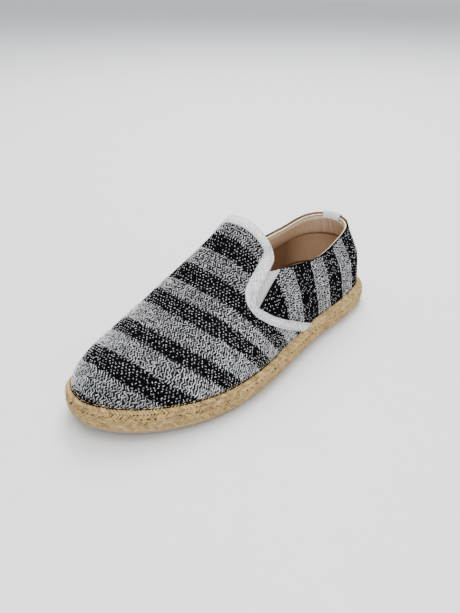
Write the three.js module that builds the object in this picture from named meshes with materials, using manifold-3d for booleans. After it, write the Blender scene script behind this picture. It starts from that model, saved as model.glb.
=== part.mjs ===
// Espadrille for the left foot, in millimetres. The toe points to -Y, the outer side of the foot is +X,
// +Z is up and the outsole stands on z = 0. Every curved piece comes from one form function: an outline in
// plan, a crest line over the foot and a fullness between the two, offset outwards or inwards per layer.
import * as THREE from 'three';
import { mergeVertices } from 'three/addons/utils/BufferGeometryUtils.js';
import Module from 'manifold-3d';

// Driving sizes
const SOLE_LENGTH = 262;
const BALL_WIDTH = 97;
const SOLE_HEIGHT = 15;        // floor to the top of the braided sole
const TOE_SPRING = 6;          // rise of the sole at the toe tip
const SPRING_FROM = 0.70;      // share of the length where the rise begins
const WAIST_LIFT = 0.8;        // hollow under the arch
const LEDGE = 4.8;             // sole edge that shows outside the upper
const RUBBER = 2.4;            // outsole thickness
const RUBBER_INSET = 3.2;      // outsole edge inside the sole's outline
const BRAID_ROWS = 4;          // plaited rows up the side of the sole
const BRAID_DEPTH = 0.55;      // groove between two rows
const GAP = 0.3;               // clear space between two pieces
const WALL = 2.0;              // knit with its lining
const VAMP_STEP = 1.0;         // front part laid over the quarters
const TAPE = 1.1;              // binding tape thickness
const TAPE_WIDTH = 5.6;
const TAPE_CAP = 1.3;          // tape folded over the free edge
const HEM_TOP = 47.8;          // height where the tape leaves the quarter for the elastic
const ELASTIC = 1.2;           // side elastic thickness
const ELASTIC_DEPTH = 0.4;     // elastic set in below the knit's face
const INSOLE = 3.0;
const STAY_WIDTH = 18;         // tape over the back seam
const HEEL_LEAN = 6.0;         // collar leaning in towards the ankle
const LEAN_FROM = 34;          // height where the lean begins
const LEAN_TO = 62;

// A row per section from the heel back to the toe tip. Along and across are shares of the sole's length and
// ball width, the crest height is millimetres above the braided sole, and 2 is the fullness of an ellipse.
const SECTIONS = table(
  ['outerAlong', 'outerAcross', 'innerAlong', 'innerAcross', 'crestAlong', 'crestAcross', 'crest', 'full'], [
    [0.000, 0.020, 0.000, 0.020, 0.110, 0.000, 82.0, 2.25],
    [0.022, 0.228, 0.022, -0.172, 0.115, 0.000, 82.0, 2.25],
    [0.085, 0.365, 0.085, -0.300, 0.140, 0.000, 82.0, 2.15],
    [0.200, 0.415, 0.200, -0.335, 0.220, 0.000, 82.0, 2.00],
    [0.330, 0.420, 0.330, -0.325, 0.330, -0.015, 79.0, 2.00],
    [0.450, 0.443, 0.460, -0.350, 0.440, -0.040, 71.0, 1.95],
    [0.560, 0.472, 0.590, -0.434, 0.540, -0.064, 58.5, 1.93],
    [0.665, 0.487, 0.710, -0.494, 0.640, -0.075, 44.5, 1.90],
    [0.775, 0.453, 0.815, -0.488, 0.740, -0.074, 34.0, 1.85],
    [0.880, 0.340, 0.905, -0.425, 0.820, -0.069, 27.5, 1.85],
    [0.962, 0.158, 0.970, -0.295, 0.865, -0.066, 24.5, 1.85],
    [1.000, -0.075, 1.000, -0.075, 0.875, -0.066, 23.5, 1.85],
  ]);
// Side views, y towards the heel and z up. The front part's free edge runs from the throat down to the
// elastic's foot and back to the sole; the quarter's edge runs up the elastic and round the collar.
const THROAT = side([[12.5, 96], [11.6, 84.6], [10.6, 80.0], [9.8, 76.6], [8.9, 72.6], [7.4, 68.6],
  [4.6, 65.3], [0.2, 62.9], [-10.6, 57.5], [-20.4, 52.2], [-23.9, 49.0]]);
const LOWER_ARM = side([[-23.9, 49.0], [-24.3, 47.6], [-22.8, 45.4], [-16.0, 40.0], [-7.0, 34.7],
  [4.8, 28.5], [17.3, 22.2], [27.2, 17.6], [35.6, 12.8]]);
const QUARTER_FRONT = side([[-22.6, 46.0], [-15.4, 49.4], [-7.1, 53.3], [2.8, 57.6], [7.6, 59.9]]);
const COLLAR = side([[7.6, 59.9], [13.0, 59.9], [22.0, 58.5], [34.0, 56.6], [46.0, 54.8], [57.0, 54.1],
  [68.0, 54.5], [82.0, 55.7], [96.0, 57.4], [109.0, 59.4], [119.0, 61.0], [127.0, 61.8]]);
// Side of the braided sole, from the bottom edge to the top face: inset from the outline, share of the height
const SOLE_SIDE = table(['inset', 'rise'], [
  [4.2, 0.00], [1.9, 0.05], [1.0, 0.20], [0.7, 0.45], [0.7, 0.70], [1.5, 0.90], [3.6, 1.00]]);

function table(names, rows) {
  return rows.map((row) => Object.fromEntries(names.map((name, k) => [name, row[k]])));
}
function side(points) { return points.map(([y, z]) => ({ y, z })); }

// Form of the last
const LAST_ROW = SECTIONS.length - 1;
const ROUND = 2 * LAST_ROW;
const STEPS_PER_ROW = 4;
function blend(a, b, c, d, t) {
  return 0.5 * (2 * b + (c - a) * t + (2 * a - 5 * b + 4 * c - d) * t * t + (3 * b - a - 3 * c + d) * t ** 3);
}
const smooth = (t) => { const s = Math.min(1, Math.max(0, t)); return s * s * (3 - 2 * s); };
const alongOf = (y) => (SOLE_LENGTH / 2 - y) / SOLE_LENGTH;
const RIM = SECTIONS.map((s) => [s.outerAlong, s.outerAcross])
  .concat(SECTIONS.slice(1, -1).reverse().map((s) => [s.innerAlong, s.innerAcross]));
// Point of the outline for a place u round the shoe: 0 heel back, LAST_ROW toe tip, outer side first
function outline(u) {
  const k = Math.floor(u), t = u - k, at = (i) => RIM[((k + i) % ROUND + ROUND) % ROUND];
  const [along, across] = [0, 1].map((c) => blend(at(-1)[c], at(0)[c], at(1)[c], at(2)[c], t));
  return { x: across * BALL_WIDTH - MIDDLE, y: SOLE_LENGTH / 2 - along * SOLE_LENGTH };
}
function outwards(u) {
  const a = outline(u - 1e-3), b = outline(u + 1e-3), len = Math.hypot(b.x - a.x, b.y - a.y);
  return { x: -(b.y - a.y) / len, y: (b.x - a.x) / len };
}
function rim(u, offset) {
  const p = outline(u), n = outwards(u);
  return { x: p.x + n.x * offset, y: p.y + n.y * offset };
}
function crest(u) {
  const w = ((u % ROUND) + ROUND) % ROUND, v = w <= LAST_ROW ? w : ROUND - w;
  const k = Math.min(LAST_ROW - 1, Math.floor(v)), t = v - k;
  const fold = (i) => SECTIONS[i < 0 ? -i : i > LAST_ROW ? 2 * LAST_ROW - i : i];
  const part = (name) => blend(fold(k - 1)[name], fold(k)[name], fold(k + 1)[name], fold(k + 2)[name], t);
  return { x: part('crestAcross') * BALL_WIDTH - MIDDLE, y: SOLE_LENGTH / 2 - part('crestAlong') * SOLE_LENGTH,
    height: part('crest'), full: part('full') };
}
// Rise of the sole: toe spring and the small hollow under the waist
const spring = (along) => TOE_SPRING * Math.max(0, (along - SPRING_FROM) / (1 - SPRING_FROM)) ** 2;
const waist = (along) => WAIST_LIFT * smooth((along - 0.28) / 0.10) * smooth((0.56 - along) / 0.10);
// Point of the upper's surface: angle 0 at the sole, a quarter turn at the crest
function surface(u, angle, offset) {
  const foot = rim(u, offset - LEDGE), top = crest(u), n = outwards(u);
  const inward = 1 - Math.cos(angle) ** (2 / top.full), rise = Math.sin(angle) ** (2 / top.full);
  const low = SOLE_HEIGHT + spring(alongOf(foot.y));
  const high = SOLE_HEIGHT + top.height + offset + spring(alongOf(top.y));
  const x = foot.x + (top.x - foot.x) * inward, y = foot.y + (top.y - foot.y) * inward;
  const z = low + (high - low) * rise;
  const lean = HEEL_LEAN * smooth((z - LEAN_FROM) / (LEAN_TO - LEAN_FROM)) * smooth((0.40 - alongOf(y)) / 0.24)
    * (1 - inward);
  return [x - n.x * lean, y - n.y * lean, z];
}

// Solids
const wasm = await Module();
wasm.setup();
const places = (perRow = STEPS_PER_ROW) => Array.from({ length: ROUND * perRow }, (_, k) => k / perRow);
// The sole's bounding box is centred on x = 0
let MIDDLE = 0;
const across = places(8).map((u) => outline(u).x);
MIDDLE = (Math.min(...across) + Math.max(...across)) / 2;

function solidOf(positions, index) {
  const geometry = new THREE.BufferGeometry();
  geometry.setAttribute('position', new THREE.Float32BufferAttribute(positions, 3));
  geometry.setIndex(index);
  const welded = mergeVertices(geometry, 1e-4), list = welded.index.array, kept = [];
  for (let k = 0; k < list.length; k += 3) {
    const [a, b, c] = [list[k], list[k + 1], list[k + 2]];
    if (a !== b && b !== c && c !== a) kept.push(a, b, c);
  }
  const build = (tri) => new wasm.Manifold(new wasm.Mesh({ numProp: 3,
    vertProperties: Float32Array.from(welded.attributes.position.array), triVerts: Uint32Array.from(tri) }));
  const solid = build(kept);
  if (solid.volume() > 0) return solid;
  for (let k = 0; k < kept.length; k += 3) [kept[k + 1], kept[k + 2]] = [kept[k + 2], kept[k + 1]];
  return build(kept);
}
// Body through closed rings of points; the first and last rings fold shut on a line
function loft(rings) {
  const n = rings[0].length, index = [];
  for (let r = 0; r + 1 < rings.length; r += 1) {
    for (let k = 0; k < n; k += 1) {
      const a = r * n + k, b = r * n + (k + 1) % n;
      index.push(a, b, a + n, b, b + n, a + n);
    }
  }
  return solidOf(rings.flat(2), index);
}
// Ring drawn in towards the line midway between the two sides: share 0 is the rim, 1 the line
function gathered(offset, share, height, perRow) {
  return places(perRow).map((u) => {
    const p = rim(u, offset), q = rim(ROUND - u, offset);
    const x = p.x + (q.x - p.x) * share / 2, y = p.y + (q.y - p.y) * share / 2;
    return [x, y, height(alongOf(y))];
  });
}
function slab(offsetLow, offsetHigh, low, high, perRow) {
  const side = (o, z) => gathered(o, 0, z, perRow);
  return loft([gathered(offsetLow, 1, low, perRow), gathered(offsetLow, 0.5, low, perRow), side(offsetLow, low),
    side(offsetHigh, high), gathered(offsetHigh, 0.5, high, perRow), gathered(offsetHigh, 1, high, perRow)]);
}
// Filled form of the upper at an offset from its outer face, starting a little above or below the sole
function dome(offset, start, turns = 11) {
  const foot = (along) => SOLE_HEIGHT + spring(along) + start;
  const rings = [gathered(offset - LEDGE, 1, foot), gathered(offset - LEDGE, 0.5, foot),
    gathered(offset - LEDGE, 0, foot)];
  for (let k = 1; k <= turns; k += 1) {
    const angle = Math.PI / 2 * (k / turns) ** 0.92;
    rings.push(places().map((u) => surface(u, angle, offset)));
  }
  return loft(rings);
}
// Straight-sided cutter from a side view, between two distances across
function cutter(points, fromX = -SOLE_LENGTH, toX = SOLE_LENGTH) {
  const clean = points.filter((p, k) => {
    const q = points[(k + 1) % points.length];
    return Math.hypot(p.y - q.y, p.z - q.z) > 1e-3;
  });
  const flat = clean.map((p) => new THREE.Vector2(p.y, p.z)), n = flat.length;
  if (THREE.ShapeUtils.isClockWise(flat)) flat.reverse();
  const index = [];
  THREE.ShapeUtils.triangulateShape(flat, []).forEach(([a, b, c]) => {
    const turn = THREE.ShapeUtils.isClockWise([flat[a], flat[b], flat[c]]);
    const [p, q] = turn ? [c, b] : [b, c];
    index.push(a, q, p, a + n, p + n, q + n);
  });
  for (let k = 0; k < n; k += 1) {
    const m = (k + 1) % n;
    index.push(k, m, m + n, k, m + n, k + n);
  }
  const ends = [fromX, toX].flatMap((x) => flat.map((p) => [x, p.x, p.y]));
  return solidOf(ends.flat(), index);
}
function block(x0, x1, y0, y1, z0, z1) {
  return cutter(side([[y0, z0], [y1, z0], [y1, z1], [y0, z1]]), x0, x1);
}
// Smoothed side-view line, and the same line moved towards the toe (positive) or the heel (negative)
function eased(points, per = 2) {
  const at = (i) => points[Math.min(points.length - 1, Math.max(0, i))], out = [];
  for (let k = 0; k + 1 < points.length; k += 1) {
    for (let s = 0; s < per; s += 1) {
      out.push({ y: blend(at(k - 1).y, at(k).y, at(k + 1).y, at(k + 2).y, s / per),
        z: blend(at(k - 1).z, at(k).z, at(k + 1).z, at(k + 2).z, s / per) });
    }
  }
  return out.concat([points[points.length - 1]]);
}
function moved(line, distance) {
  return line.map((p, k) => {
    const a = line[Math.max(0, k - 1)], b = line[Math.min(line.length - 1, k + 1)];
    const len = Math.hypot(b.y - a.y, b.z - a.z);
    return { y: p.y + (b.z - a.z) / len * distance, z: p.z - (b.y - a.y) / len * distance };
  });
}
const band = (line, from, to) => moved(line, from).concat(moved(line, to).reverse());

// Sole
const soleTop = (along) => SOLE_HEIGHT + spring(along);
const soleLow = (along) => RUBBER + GAP + spring(along) + waist(along);
function braidedSole() {
  const rings = [gathered(-SOLE_SIDE[0].inset, 1, soleLow), gathered(-SOLE_SIDE[0].inset, 0.5, soleLow)];
  const inset = (rise) => {
    const k = Math.max(1, SOLE_SIDE.findIndex((s) => s.rise >= rise - 1e-9)), a = SOLE_SIDE[k - 1], b = SOLE_SIDE[k];
    return a.inset + (b.inset - a.inset) * (rise - a.rise) / (b.rise - a.rise);
  };
  const perRow = 3, count = BRAID_ROWS * perRow;
  for (let k = 0; k <= count; k += 1) {
    const rise = k / count, groove = k % perRow === 0 && k > 0 && k < count ? BRAID_DEPTH : 0;
    const height = (along) => soleLow(along) + (soleTop(along) - soleLow(along)) * rise;
    rings.push(gathered(-inset(rise) - groove, 0, height));
  }
  const top = -SOLE_SIDE[SOLE_SIDE.length - 1].inset;
  rings.push(gathered(top, 0.5, soleTop), gathered(top, 1, soleTop));
  return loft(rings);
}
const outsole = slab(-RUBBER_INSET - 0.6, -RUBBER_INSET, (along) => spring(along) + waist(along),
  (along) => spring(along) + waist(along) + RUBBER, 3);
const jute = braidedSole();
const insole = slab(-LEDGE - WALL - 0.95, -LEDGE - WALL - 1.65, (along) => soleTop(along) + GAP,
  (along) => soleTop(along) + GAP + INSOLE, 3);

// Upper: one hollow wall, thicker by a step over the front part, open at the collar and below
const face = dome(0, GAP), raised = dome(VAMP_STEP, GAP), hollow = dome(-WALL, -3 * LEDGE);
const throat = eased(THROAT), arm = eased(LOWER_ARM), freeEdge = throat.concat(arm.slice(1));
const front = moved(freeEdge, TAPE_CAP + GAP)
  .concat(side([[20, -20], [-SOLE_LENGTH, -20], [-SOLE_LENGTH, 140], [12, 140]]));
const quarterFront = eased(QUARTER_FRONT, 2), collar = eased(COLLAR);
const slotSide = moved(freeEdge, TAPE_CAP + GAP).slice(0, throat.length + 2);
const opening = slotSide.concat(quarterFront, collar.slice(1),
  side([[SOLE_LENGTH, 62.5], [SOLE_LENGTH, 140], [9, 140]]));
const upper = face.add(raised.intersect(cutter(front))).subtract(hollow).subtract(cutter(opening));

// Binding tape along the free edge: a strip on the front part, folded over the edge and hemmed on the quarter
const toeSide = side([[20, -25], [-SOLE_LENGTH, -25], [-SOLE_LENGTH, 145], [12, 145]]);
const tapeView = cutter(band(freeEdge, 0, TAPE_WIDTH));
const onFront = dome(VAMP_STEP + GAP, -LEDGE).intersect(cutter(moved(freeEdge, TAPE_CAP).concat(toeSide)));
const onQuarter = dome(GAP, -LEDGE).intersect(block(-SOLE_LENGTH, SOLE_LENGTH, -60, 60, -30, HEM_TOP));
const binding = dome(VAMP_STEP + GAP + TAPE, GAP).intersect(tapeView)
  .subtract(onFront).subtract(hollow).subtract(onQuarter);

// Elastic gores in the slots between the front part and the quarters
const goreView = moved(throat.filter((p) => p.z < 65.6), -GAP)
  .concat(moved(quarterFront, -GAP));
const goreShell = dome(-ELASTIC_DEPTH, GAP).subtract(dome(-ELASTIC_DEPTH - ELASTIC, -LEDGE));
const goreOuter = goreShell.intersect(cutter(goreView, 0, BALL_WIDTH));
const goreInner = goreShell.intersect(cutter(goreView, -BALL_WIDTH, 0));

// Tape over the back seam, folded over the collar
const heelX = outline(0).x, half = STAY_WIDTH / 2, collarTop = collar.concat(side([[SOLE_LENGTH, 62.5]]));
const under = (raise) => cutter(moved(collarTop, -raise).concat(side([[SOLE_LENGTH, -40], [8, -40]])));
const stay = dome(GAP + TAPE, GAP).intersect(under(GAP + TAPE))
  .intersect(block(heelX - half, heelX + half, SOLE_LENGTH / 2 - 45, SOLE_LENGTH / 2 + 20, -30, 140))
  .subtract(dome(GAP, -LEDGE).intersect(under(GAP))).subtract(hollow);

// Named pieces with their colours
const FINISHES = {
  knit: { color: [0.30, 0.30, 0.31], roughness: 0.95 },
  straw: { color: [0.74, 0.63, 0.45], roughness: 0.95 },
  rubber: { color: [0.62, 0.52, 0.38], roughness: 0.85 },
  lining: { color: [0.69, 0.50, 0.33], roughness: 0.80 },
  tape: { color: [0.86, 0.86, 0.85], roughness: 0.90 },
  elastic: { color: [0.74, 0.74, 0.72], roughness: 0.90 },
};
function piece(name, solid, finish) {
  const mesh = solid.getMesh(), geometry = new THREE.BufferGeometry();
  geometry.setAttribute('position', new THREE.Float32BufferAttribute(Float32Array.from(mesh.vertProperties), 3));
  geometry.setIndex(Array.from(mesh.triVerts));
  geometry.computeVertexNormals();
  const { color, roughness } = FINISHES[finish];
  const material = new THREE.MeshStandardMaterial({ color: new THREE.Color(...color), roughness, metalness: 0 });
  const node = new THREE.Mesh(geometry, material);
  node.name = name;
  return node;
}

const espadrille = new THREE.Group();
espadrille.name = 'espadrille';
espadrille.add(
  piece('outsole', outsole, 'rubber'),
  piece('jute_sole', jute, 'straw'),
  piece('insole', insole, 'lining'),
  piece('upper', upper, 'knit'),
  piece('vamp_binding', binding, 'tape'),
  piece('gore_outer', goreOuter, 'elastic'),
  piece('gore_inner', goreInner, 'elastic'),
  piece('heel_tape', stay, 'tape'),
);
export default espadrille;
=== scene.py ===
"""Left espadrille: striped knit upper, white bound front, side elastics, tan lining and a plaited jute sole."""
from __future__ import annotations

import logging
import math
from dataclasses import dataclass
from enum import Enum
from typing import Callable, Sequence

import bmesh
import bpy
import numpy as np
from mathutils import Matrix, Vector


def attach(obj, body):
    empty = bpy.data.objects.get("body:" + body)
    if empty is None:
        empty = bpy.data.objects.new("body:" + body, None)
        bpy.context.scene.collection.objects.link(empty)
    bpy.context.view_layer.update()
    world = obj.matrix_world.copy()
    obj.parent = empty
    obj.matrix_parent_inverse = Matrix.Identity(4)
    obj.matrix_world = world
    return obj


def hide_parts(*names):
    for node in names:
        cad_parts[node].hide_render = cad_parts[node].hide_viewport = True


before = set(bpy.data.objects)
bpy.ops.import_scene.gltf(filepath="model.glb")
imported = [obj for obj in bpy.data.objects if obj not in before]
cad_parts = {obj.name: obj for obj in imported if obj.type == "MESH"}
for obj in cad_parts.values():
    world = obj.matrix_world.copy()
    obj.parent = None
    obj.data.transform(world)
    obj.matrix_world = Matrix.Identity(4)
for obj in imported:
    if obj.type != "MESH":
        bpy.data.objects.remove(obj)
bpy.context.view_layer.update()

logging.basicConfig(level=logging.INFO, format="%(message)s")
LOG = logging.getLogger("espadrille")
MM = 0.001
HALF_TURN = math.pi / 2
BODY = "root"
INSIDE_HEIGHT = 0.02  # height of a line that runs inside the shoe, in metres

Array = np.ndarray
Place = Callable[[Array, Array], Array]


# Form of the shoe, in millimetres


def blend(a: Array, b: Array, c: Array, d: Array, t: Array) -> Array:
    """Smooth curve between b and c, with a and d as the rows beyond."""
    return 0.5 * (2 * b + (c - a) * t + (2 * a - 5 * b + 4 * c - d) * t**2 + (3 * b - a - 3 * c + d) * t**3)


def smooth(t: Array) -> Array:
    """Soft step from 0 to 1."""
    s = np.clip(t, 0, 1)
    return s * s * (3 - 2 * s)


def unit(vectors: Array) -> Array:
    """Vectors in rows, brought to length 1."""
    return vectors / (np.linalg.norm(vectors, axis=-1, keepdims=True) + 1e-12)


@dataclass(frozen=True)
class Last:
    """The shoe's form: an outline in plan, a crest line over the foot and a fullness between the two."""

    length: float = 262.0
    ball: float = 97.0
    sole: float = 15.0
    toe_spring: float = 6.0
    spring_from: float = 0.70
    waist_lift: float = 0.8
    waist_spread: tuple[float, float, float] = (0.28, 0.56, 0.10)  # start, end and run, shares of the length
    ledge: float = 4.8
    heel_lean: float = 6.0
    lean_from: float = 34.0
    lean_to: float = 62.0
    lean_ahead: float = 0.40  # share of the length where the lean has gone
    lean_run: float = 0.24
    # outer side along and across, inner side along and across, crest along and across, its height, fullness
    sections: tuple[tuple[float, ...], ...] = (
        (0.000, 0.020, 0.000, 0.020, 0.110, 0.000, 82.0, 2.25),
        (0.022, 0.228, 0.022, -0.172, 0.115, 0.000, 82.0, 2.25),
        (0.085, 0.365, 0.085, -0.300, 0.140, 0.000, 82.0, 2.15),
        (0.200, 0.415, 0.200, -0.335, 0.220, -0.005, 82.0, 2.00),
        (0.330, 0.420, 0.330, -0.325, 0.330, -0.050, 79.0, 2.00),
        (0.450, 0.443, 0.460, -0.350, 0.440, -0.090, 71.0, 2.04),
        (0.560, 0.472, 0.590, -0.434, 0.540, -0.066, 58.5, 1.93),
        (0.665, 0.487, 0.710, -0.494, 0.640, -0.075, 44.5, 1.90),
        (0.775, 0.453, 0.815, -0.488, 0.740, -0.074, 34.0, 1.85),
        (0.880, 0.340, 0.905, -0.425, 0.820, -0.069, 27.5, 1.85),
        (0.962, 0.158, 0.970, -0.295, 0.865, -0.066, 24.5, 1.85),
        (1.000, -0.075, 1.000, -0.075, 0.875, -0.066, 23.5, 1.85),
    )

    @property
    def toe(self) -> int:
        """Place of the toe tip round the shoe; the heel's back is 0."""
        return len(self.sections) - 1

    @property
    def round(self) -> int:
        """Places once round the shoe."""
        return 2 * self.toe

    def _rim(self) -> Array:
        """Outline rows, the outer side first."""
        rows = np.array(self.sections)
        return np.vstack([rows[:, 0:2], rows[1:-1, 2:4][::-1]])

    def _raw(self, u: Array) -> Array:
        """Plan point of the outline at places u, before it is centred."""
        rim, count = self._rim(), self.round
        u = np.asarray(u, float) % count
        k = np.floor(u).astype(int)
        p = blend(*(rim[(k + i) % count] for i in (-1, 0, 1, 2)), (u - k)[..., None])
        return np.stack([p[..., 1] * self.ball, self.length / 2 - p[..., 0] * self.length], -1)

    def middle(self) -> float:
        """Distance that the outline moves across so that its box is centred."""
        x = self._raw(np.arange(self.round * 8) / 8)[..., 0]
        return float(x.min() + x.max()) / 2

    def outline(self, u: Array) -> Array:
        """Plan point of the outline at places u."""
        return self._raw(u) - np.array([self.middle(), 0.0])

    def outwards(self, u: Array) -> Array:
        """Unit vector out of the outline in plan."""
        d = unit(self._raw(np.asarray(u) + 1e-3) - self._raw(np.asarray(u) - 1e-3))
        return np.stack([-d[..., 1], d[..., 0]], -1)

    def rim(self, u: Array, offset: Array | float) -> Array:
        """Outline moved outwards by an offset."""
        return self.outline(u) + self.outwards(u) * np.asarray(offset)[..., None]

    def along(self, y: Array) -> Array:
        """Share of the length from the heel's back."""
        return (self.length / 2 - y) / self.length

    def spring(self, along: Array) -> Array:
        """Rise of the sole towards the toe tip."""
        return self.toe_spring * np.clip((along - self.spring_from) / (1 - self.spring_from), 0, None) ** 2

    def waist(self, along: Array) -> Array:
        """Small hollow under the arch."""
        start, end, run = self.waist_spread
        return self.waist_lift * smooth((along - start) / run) * smooth((end - along) / run)

    def crest(self, u: Array) -> Array:
        """Crest point over places u: x, y, height over the sole, fullness."""
        last, rows = self.toe, np.array(self.sections)[:, 4:8]
        w = np.asarray(u, float) % self.round
        v = np.where(w <= last, w, self.round - w)
        k = np.clip(np.floor(v).astype(int), 0, last - 1)
        pick = [rows[np.where(i < 0, -i, np.where(i > last, 2 * last - i, i))] for i in (k - 1, k, k + 1, k + 2)]
        c = blend(*pick, (v - k)[..., None])
        x = c[..., 1] * self.ball - self.middle()
        return np.stack([x, self.length / 2 - c[..., 0] * self.length, c[..., 2], c[..., 3]], -1)

    def surface(self, u: Array, angle: Array, offset: Array | float = 0.0) -> Array:
        """Point of the upper.

        Args:
            u: place round the shoe.
            angle: 0 at the sole, a quarter turn at the crest.
            offset: distance out of the upper's outer face.

        Returns:
            Points in millimetres, one row each.
        """
        u, angle, offset = np.broadcast_arrays(np.asarray(u, float), angle, offset)
        foot, top, out = self.rim(u, offset - self.ledge), self.crest(u), self.outwards(u)
        angle = np.clip(angle, 0, HALF_TURN)
        inward = 1 - np.cos(angle).clip(0, 1) ** (2 / top[..., 3])
        rise = np.sin(angle).clip(0, 1) ** (2 / top[..., 3])
        low = self.sole + self.spring(self.along(foot[..., 1]))
        high = self.sole + top[..., 2] + offset + self.spring(self.along(top[..., 1]))
        plan = foot + (top[..., :2] - foot) * inward[..., None]
        z = low + (high - low) * rise
        lean = self.heel_lean * smooth((z - self.lean_from) / (self.lean_to - self.lean_from))
        lean = lean * smooth((self.lean_ahead - self.along(plan[..., 1])) / self.lean_run) * (1 - inward)
        return np.concatenate([plan - out * lean[..., None], z[..., None]], -1)

    def gathered(self, u: Array, offset: Array, share: Array) -> Array:
        """Plan point drawn in towards the line midway between the two sides: share 0 rim, 1 line."""
        p, q = self.rim(u, offset), self.rim(self.round - np.asarray(u), offset)
        return p + (q - p) * share[..., None] / 2


LAST = Last()


@dataclass(frozen=True)
class SideLine:
    """A line in the side view, y towards the heel and z up, smoothed through its points."""

    points: tuple[tuple[float, float], ...]
    per: int = 8

    def eased(self) -> Array:
        """Smoothed line."""
        p = np.array(self.points)
        ends = np.vstack([p[:1], p, p[-1:]])
        t = np.linspace(0, 1, self.per, endpoint=False)[:, None]
        parts = [blend(ends[k], ends[k + 1], ends[k + 2], ends[k + 3], t) for k in range(len(p) - 1)]
        return np.vstack(parts + [p[-1:]])

    def moved(self, distance: float) -> Array:
        """Line moved sideways: positive towards the toe for a line that runs down."""
        line = self.eased()
        d = unit(np.gradient(line, axis=0))
        return line + np.stack([d[:, 1], -d[:, 0]], 1) * distance


FREE_EDGE = SideLine((
    (12.5, 96), (11.6, 84.6), (10.6, 80.0), (9.8, 76.6), (8.9, 72.6), (7.4, 68.6), (4.6, 65.3), (0.2, 62.9),
    (-10.6, 57.5), (-20.4, 52.2), (-23.9, 49.0), (-24.3, 47.6), (-22.8, 45.4), (-16.0, 40.0), (-7.0, 34.7),
    (4.8, 28.5), (17.3, 22.2), (27.2, 17.6), (35.6, 12.8)))
QUARTER_TOP = SideLine((
    (-34.0, 41.5), (-27.0, 44.3), (-22.6, 46.0), (-15.4, 49.4), (-7.1, 53.3), (2.8, 57.6), (7.6, 59.9),
    (13.0, 59.9), (22.0, 58.5), (34.0, 56.6), (46.0, 54.8), (57.0, 54.1), (68.0, 54.5), (82.0, 55.7),
    (96.0, 57.4), (109.0, 59.4), (119.0, 61.0), (127.0, 61.8), (140.0, 62.3)))
COLLAR_CORNER = 7.6  # y where the quarter's edge turns from the elastic to the collar
COLLAR_FRONT = np.array([(7.9, 96.0), (7.9, 20.0)])  # upright line just behind that corner
VAMP_STEP = 1.0  # how far the vamp lies over the quarter
TAPE_WIDTH = 5.6


def free_place(angles: Array, line: Array, side: int) -> Array:
    """Place round the shoe where a line down the side meets each row of constant angle.

    Args:
        angles: rows, from the sole to the crest.
        line: side-view line with z falling.
        side: 1 for the outer side, -1 for the inner one.

    Returns:
        One place per row.
    """
    order = np.argsort(line[:, 1])
    zs, ys = line[order, 1], line[order, 0]
    u = np.linspace(LAST.toe, 2.5, 700)
    if side < 0:
        u = LAST.round - u
    out = []
    for angle in np.atleast_1d(angles):
        p = LAST.surface(u, np.full(u.shape, angle))
        miss = p[:, 1] - np.interp(p[:, 2], zs, ys)
        k = int(np.argmax(miss > 0))
        share = miss[k - 1] / (miss[k - 1] - miss[k])
        out.append(u[k - 1] + (u[k] - u[k - 1]) * share)
    return np.array(out)


def top_angle(u: Array, drop: float = 0.0) -> Array:
    """Angle where the quarter ends at each place round the shoe, lowered by a drop in millimetres."""
    line = QUARTER_TOP.eased()
    angle = np.linspace(0, HALF_TURN * 0.9, 360)
    out = []
    for place in np.atleast_1d(u):
        p = LAST.surface(np.full(angle.shape, place), angle)
        miss = p[:, 2] - np.interp(p[:, 1], line[:, 0], line[:, 1]) + drop
        k = max(1, int(np.argmax(miss > 0)))
        out.append(angle[k - 1] + (angle[k] - angle[k - 1]) * miss[k - 1] / (miss[k - 1] - miss[k]))
    return np.array(out)


# Meshes


def to_object(name: str, mesh: bpy.types.Mesh, node: str | None = None) -> bpy.types.Object:
    """Puts a finished mesh in the scene, on the shoe's one body.

    Args:
        name: the piece's name.
        mesh: mesh in metres.
        node: solid that the piece stands for, if any.

    Returns:
        The object.
    """
    obj = bpy.data.objects.new(name, mesh)
    bpy.context.scene.collection.objects.link(obj)
    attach(obj, BODY)
    if node:
        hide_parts(node)
    LOG.info("%s: %d faces", name, len(mesh.polygons))
    return obj


def cloth_grid(name: str, columns: int, rows: int, place: Place, metric: Place) -> bpy.types.Mesh:
    """Grid laid on the form, with its own cloth coordinates in metres.

    Args:
        name: mesh name.
        columns: faces round.
        rows: faces up.
        place: maps shares (s, t) to points in millimetres.
        metric: maps the same shares to cloth coordinates in millimetres.

    Returns:
        The mesh, in metres, doubles merged.
    """
    bm = bmesh.new()
    bmesh.ops.create_grid(bm, x_segments=columns, y_segments=rows, size=0.5)
    co = np.array([v.co[:2] for v in bm.verts]) + 0.5
    points, cloth = place(co[:, 0], co[:, 1]), metric(co[:, 0], co[:, 1])
    layer = bm.loops.layers.uv.new("cloth")
    for v, p in zip(bm.verts, points):
        v.co = p * MM
    bm.verts.index_update()
    for face in bm.faces:
        for loop in face.loops:
            loop[layer].uv = cloth[loop.vert.index] * MM
    bmesh.ops.remove_doubles(bm, verts=bm.verts, dist=2e-5)
    for face in bm.faces:
        face.smooth = True
    mesh = bpy.data.meshes.new(name)
    bm.to_mesh(mesh)
    bm.free()
    return mesh


def upright(vectors: Array) -> Array:
    """Plan vectors with a height of 0 added."""
    return np.concatenate([vectors, np.zeros((len(vectors), 1))], 1)


def on_sole(plan: Array, height: Array | float) -> Array:
    """Plan points set at a height over the sole's top face."""
    z = LAST.sole + LAST.spring(LAST.along(plan[:, 1])) + height
    return np.concatenate([plan, z[:, None]], 1)


def arc_table(points: Array) -> Array:
    """Running length along a line of points."""
    return np.concatenate([[0.0], np.cumsum(np.linalg.norm(np.diff(points, axis=0), axis=1))])


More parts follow.
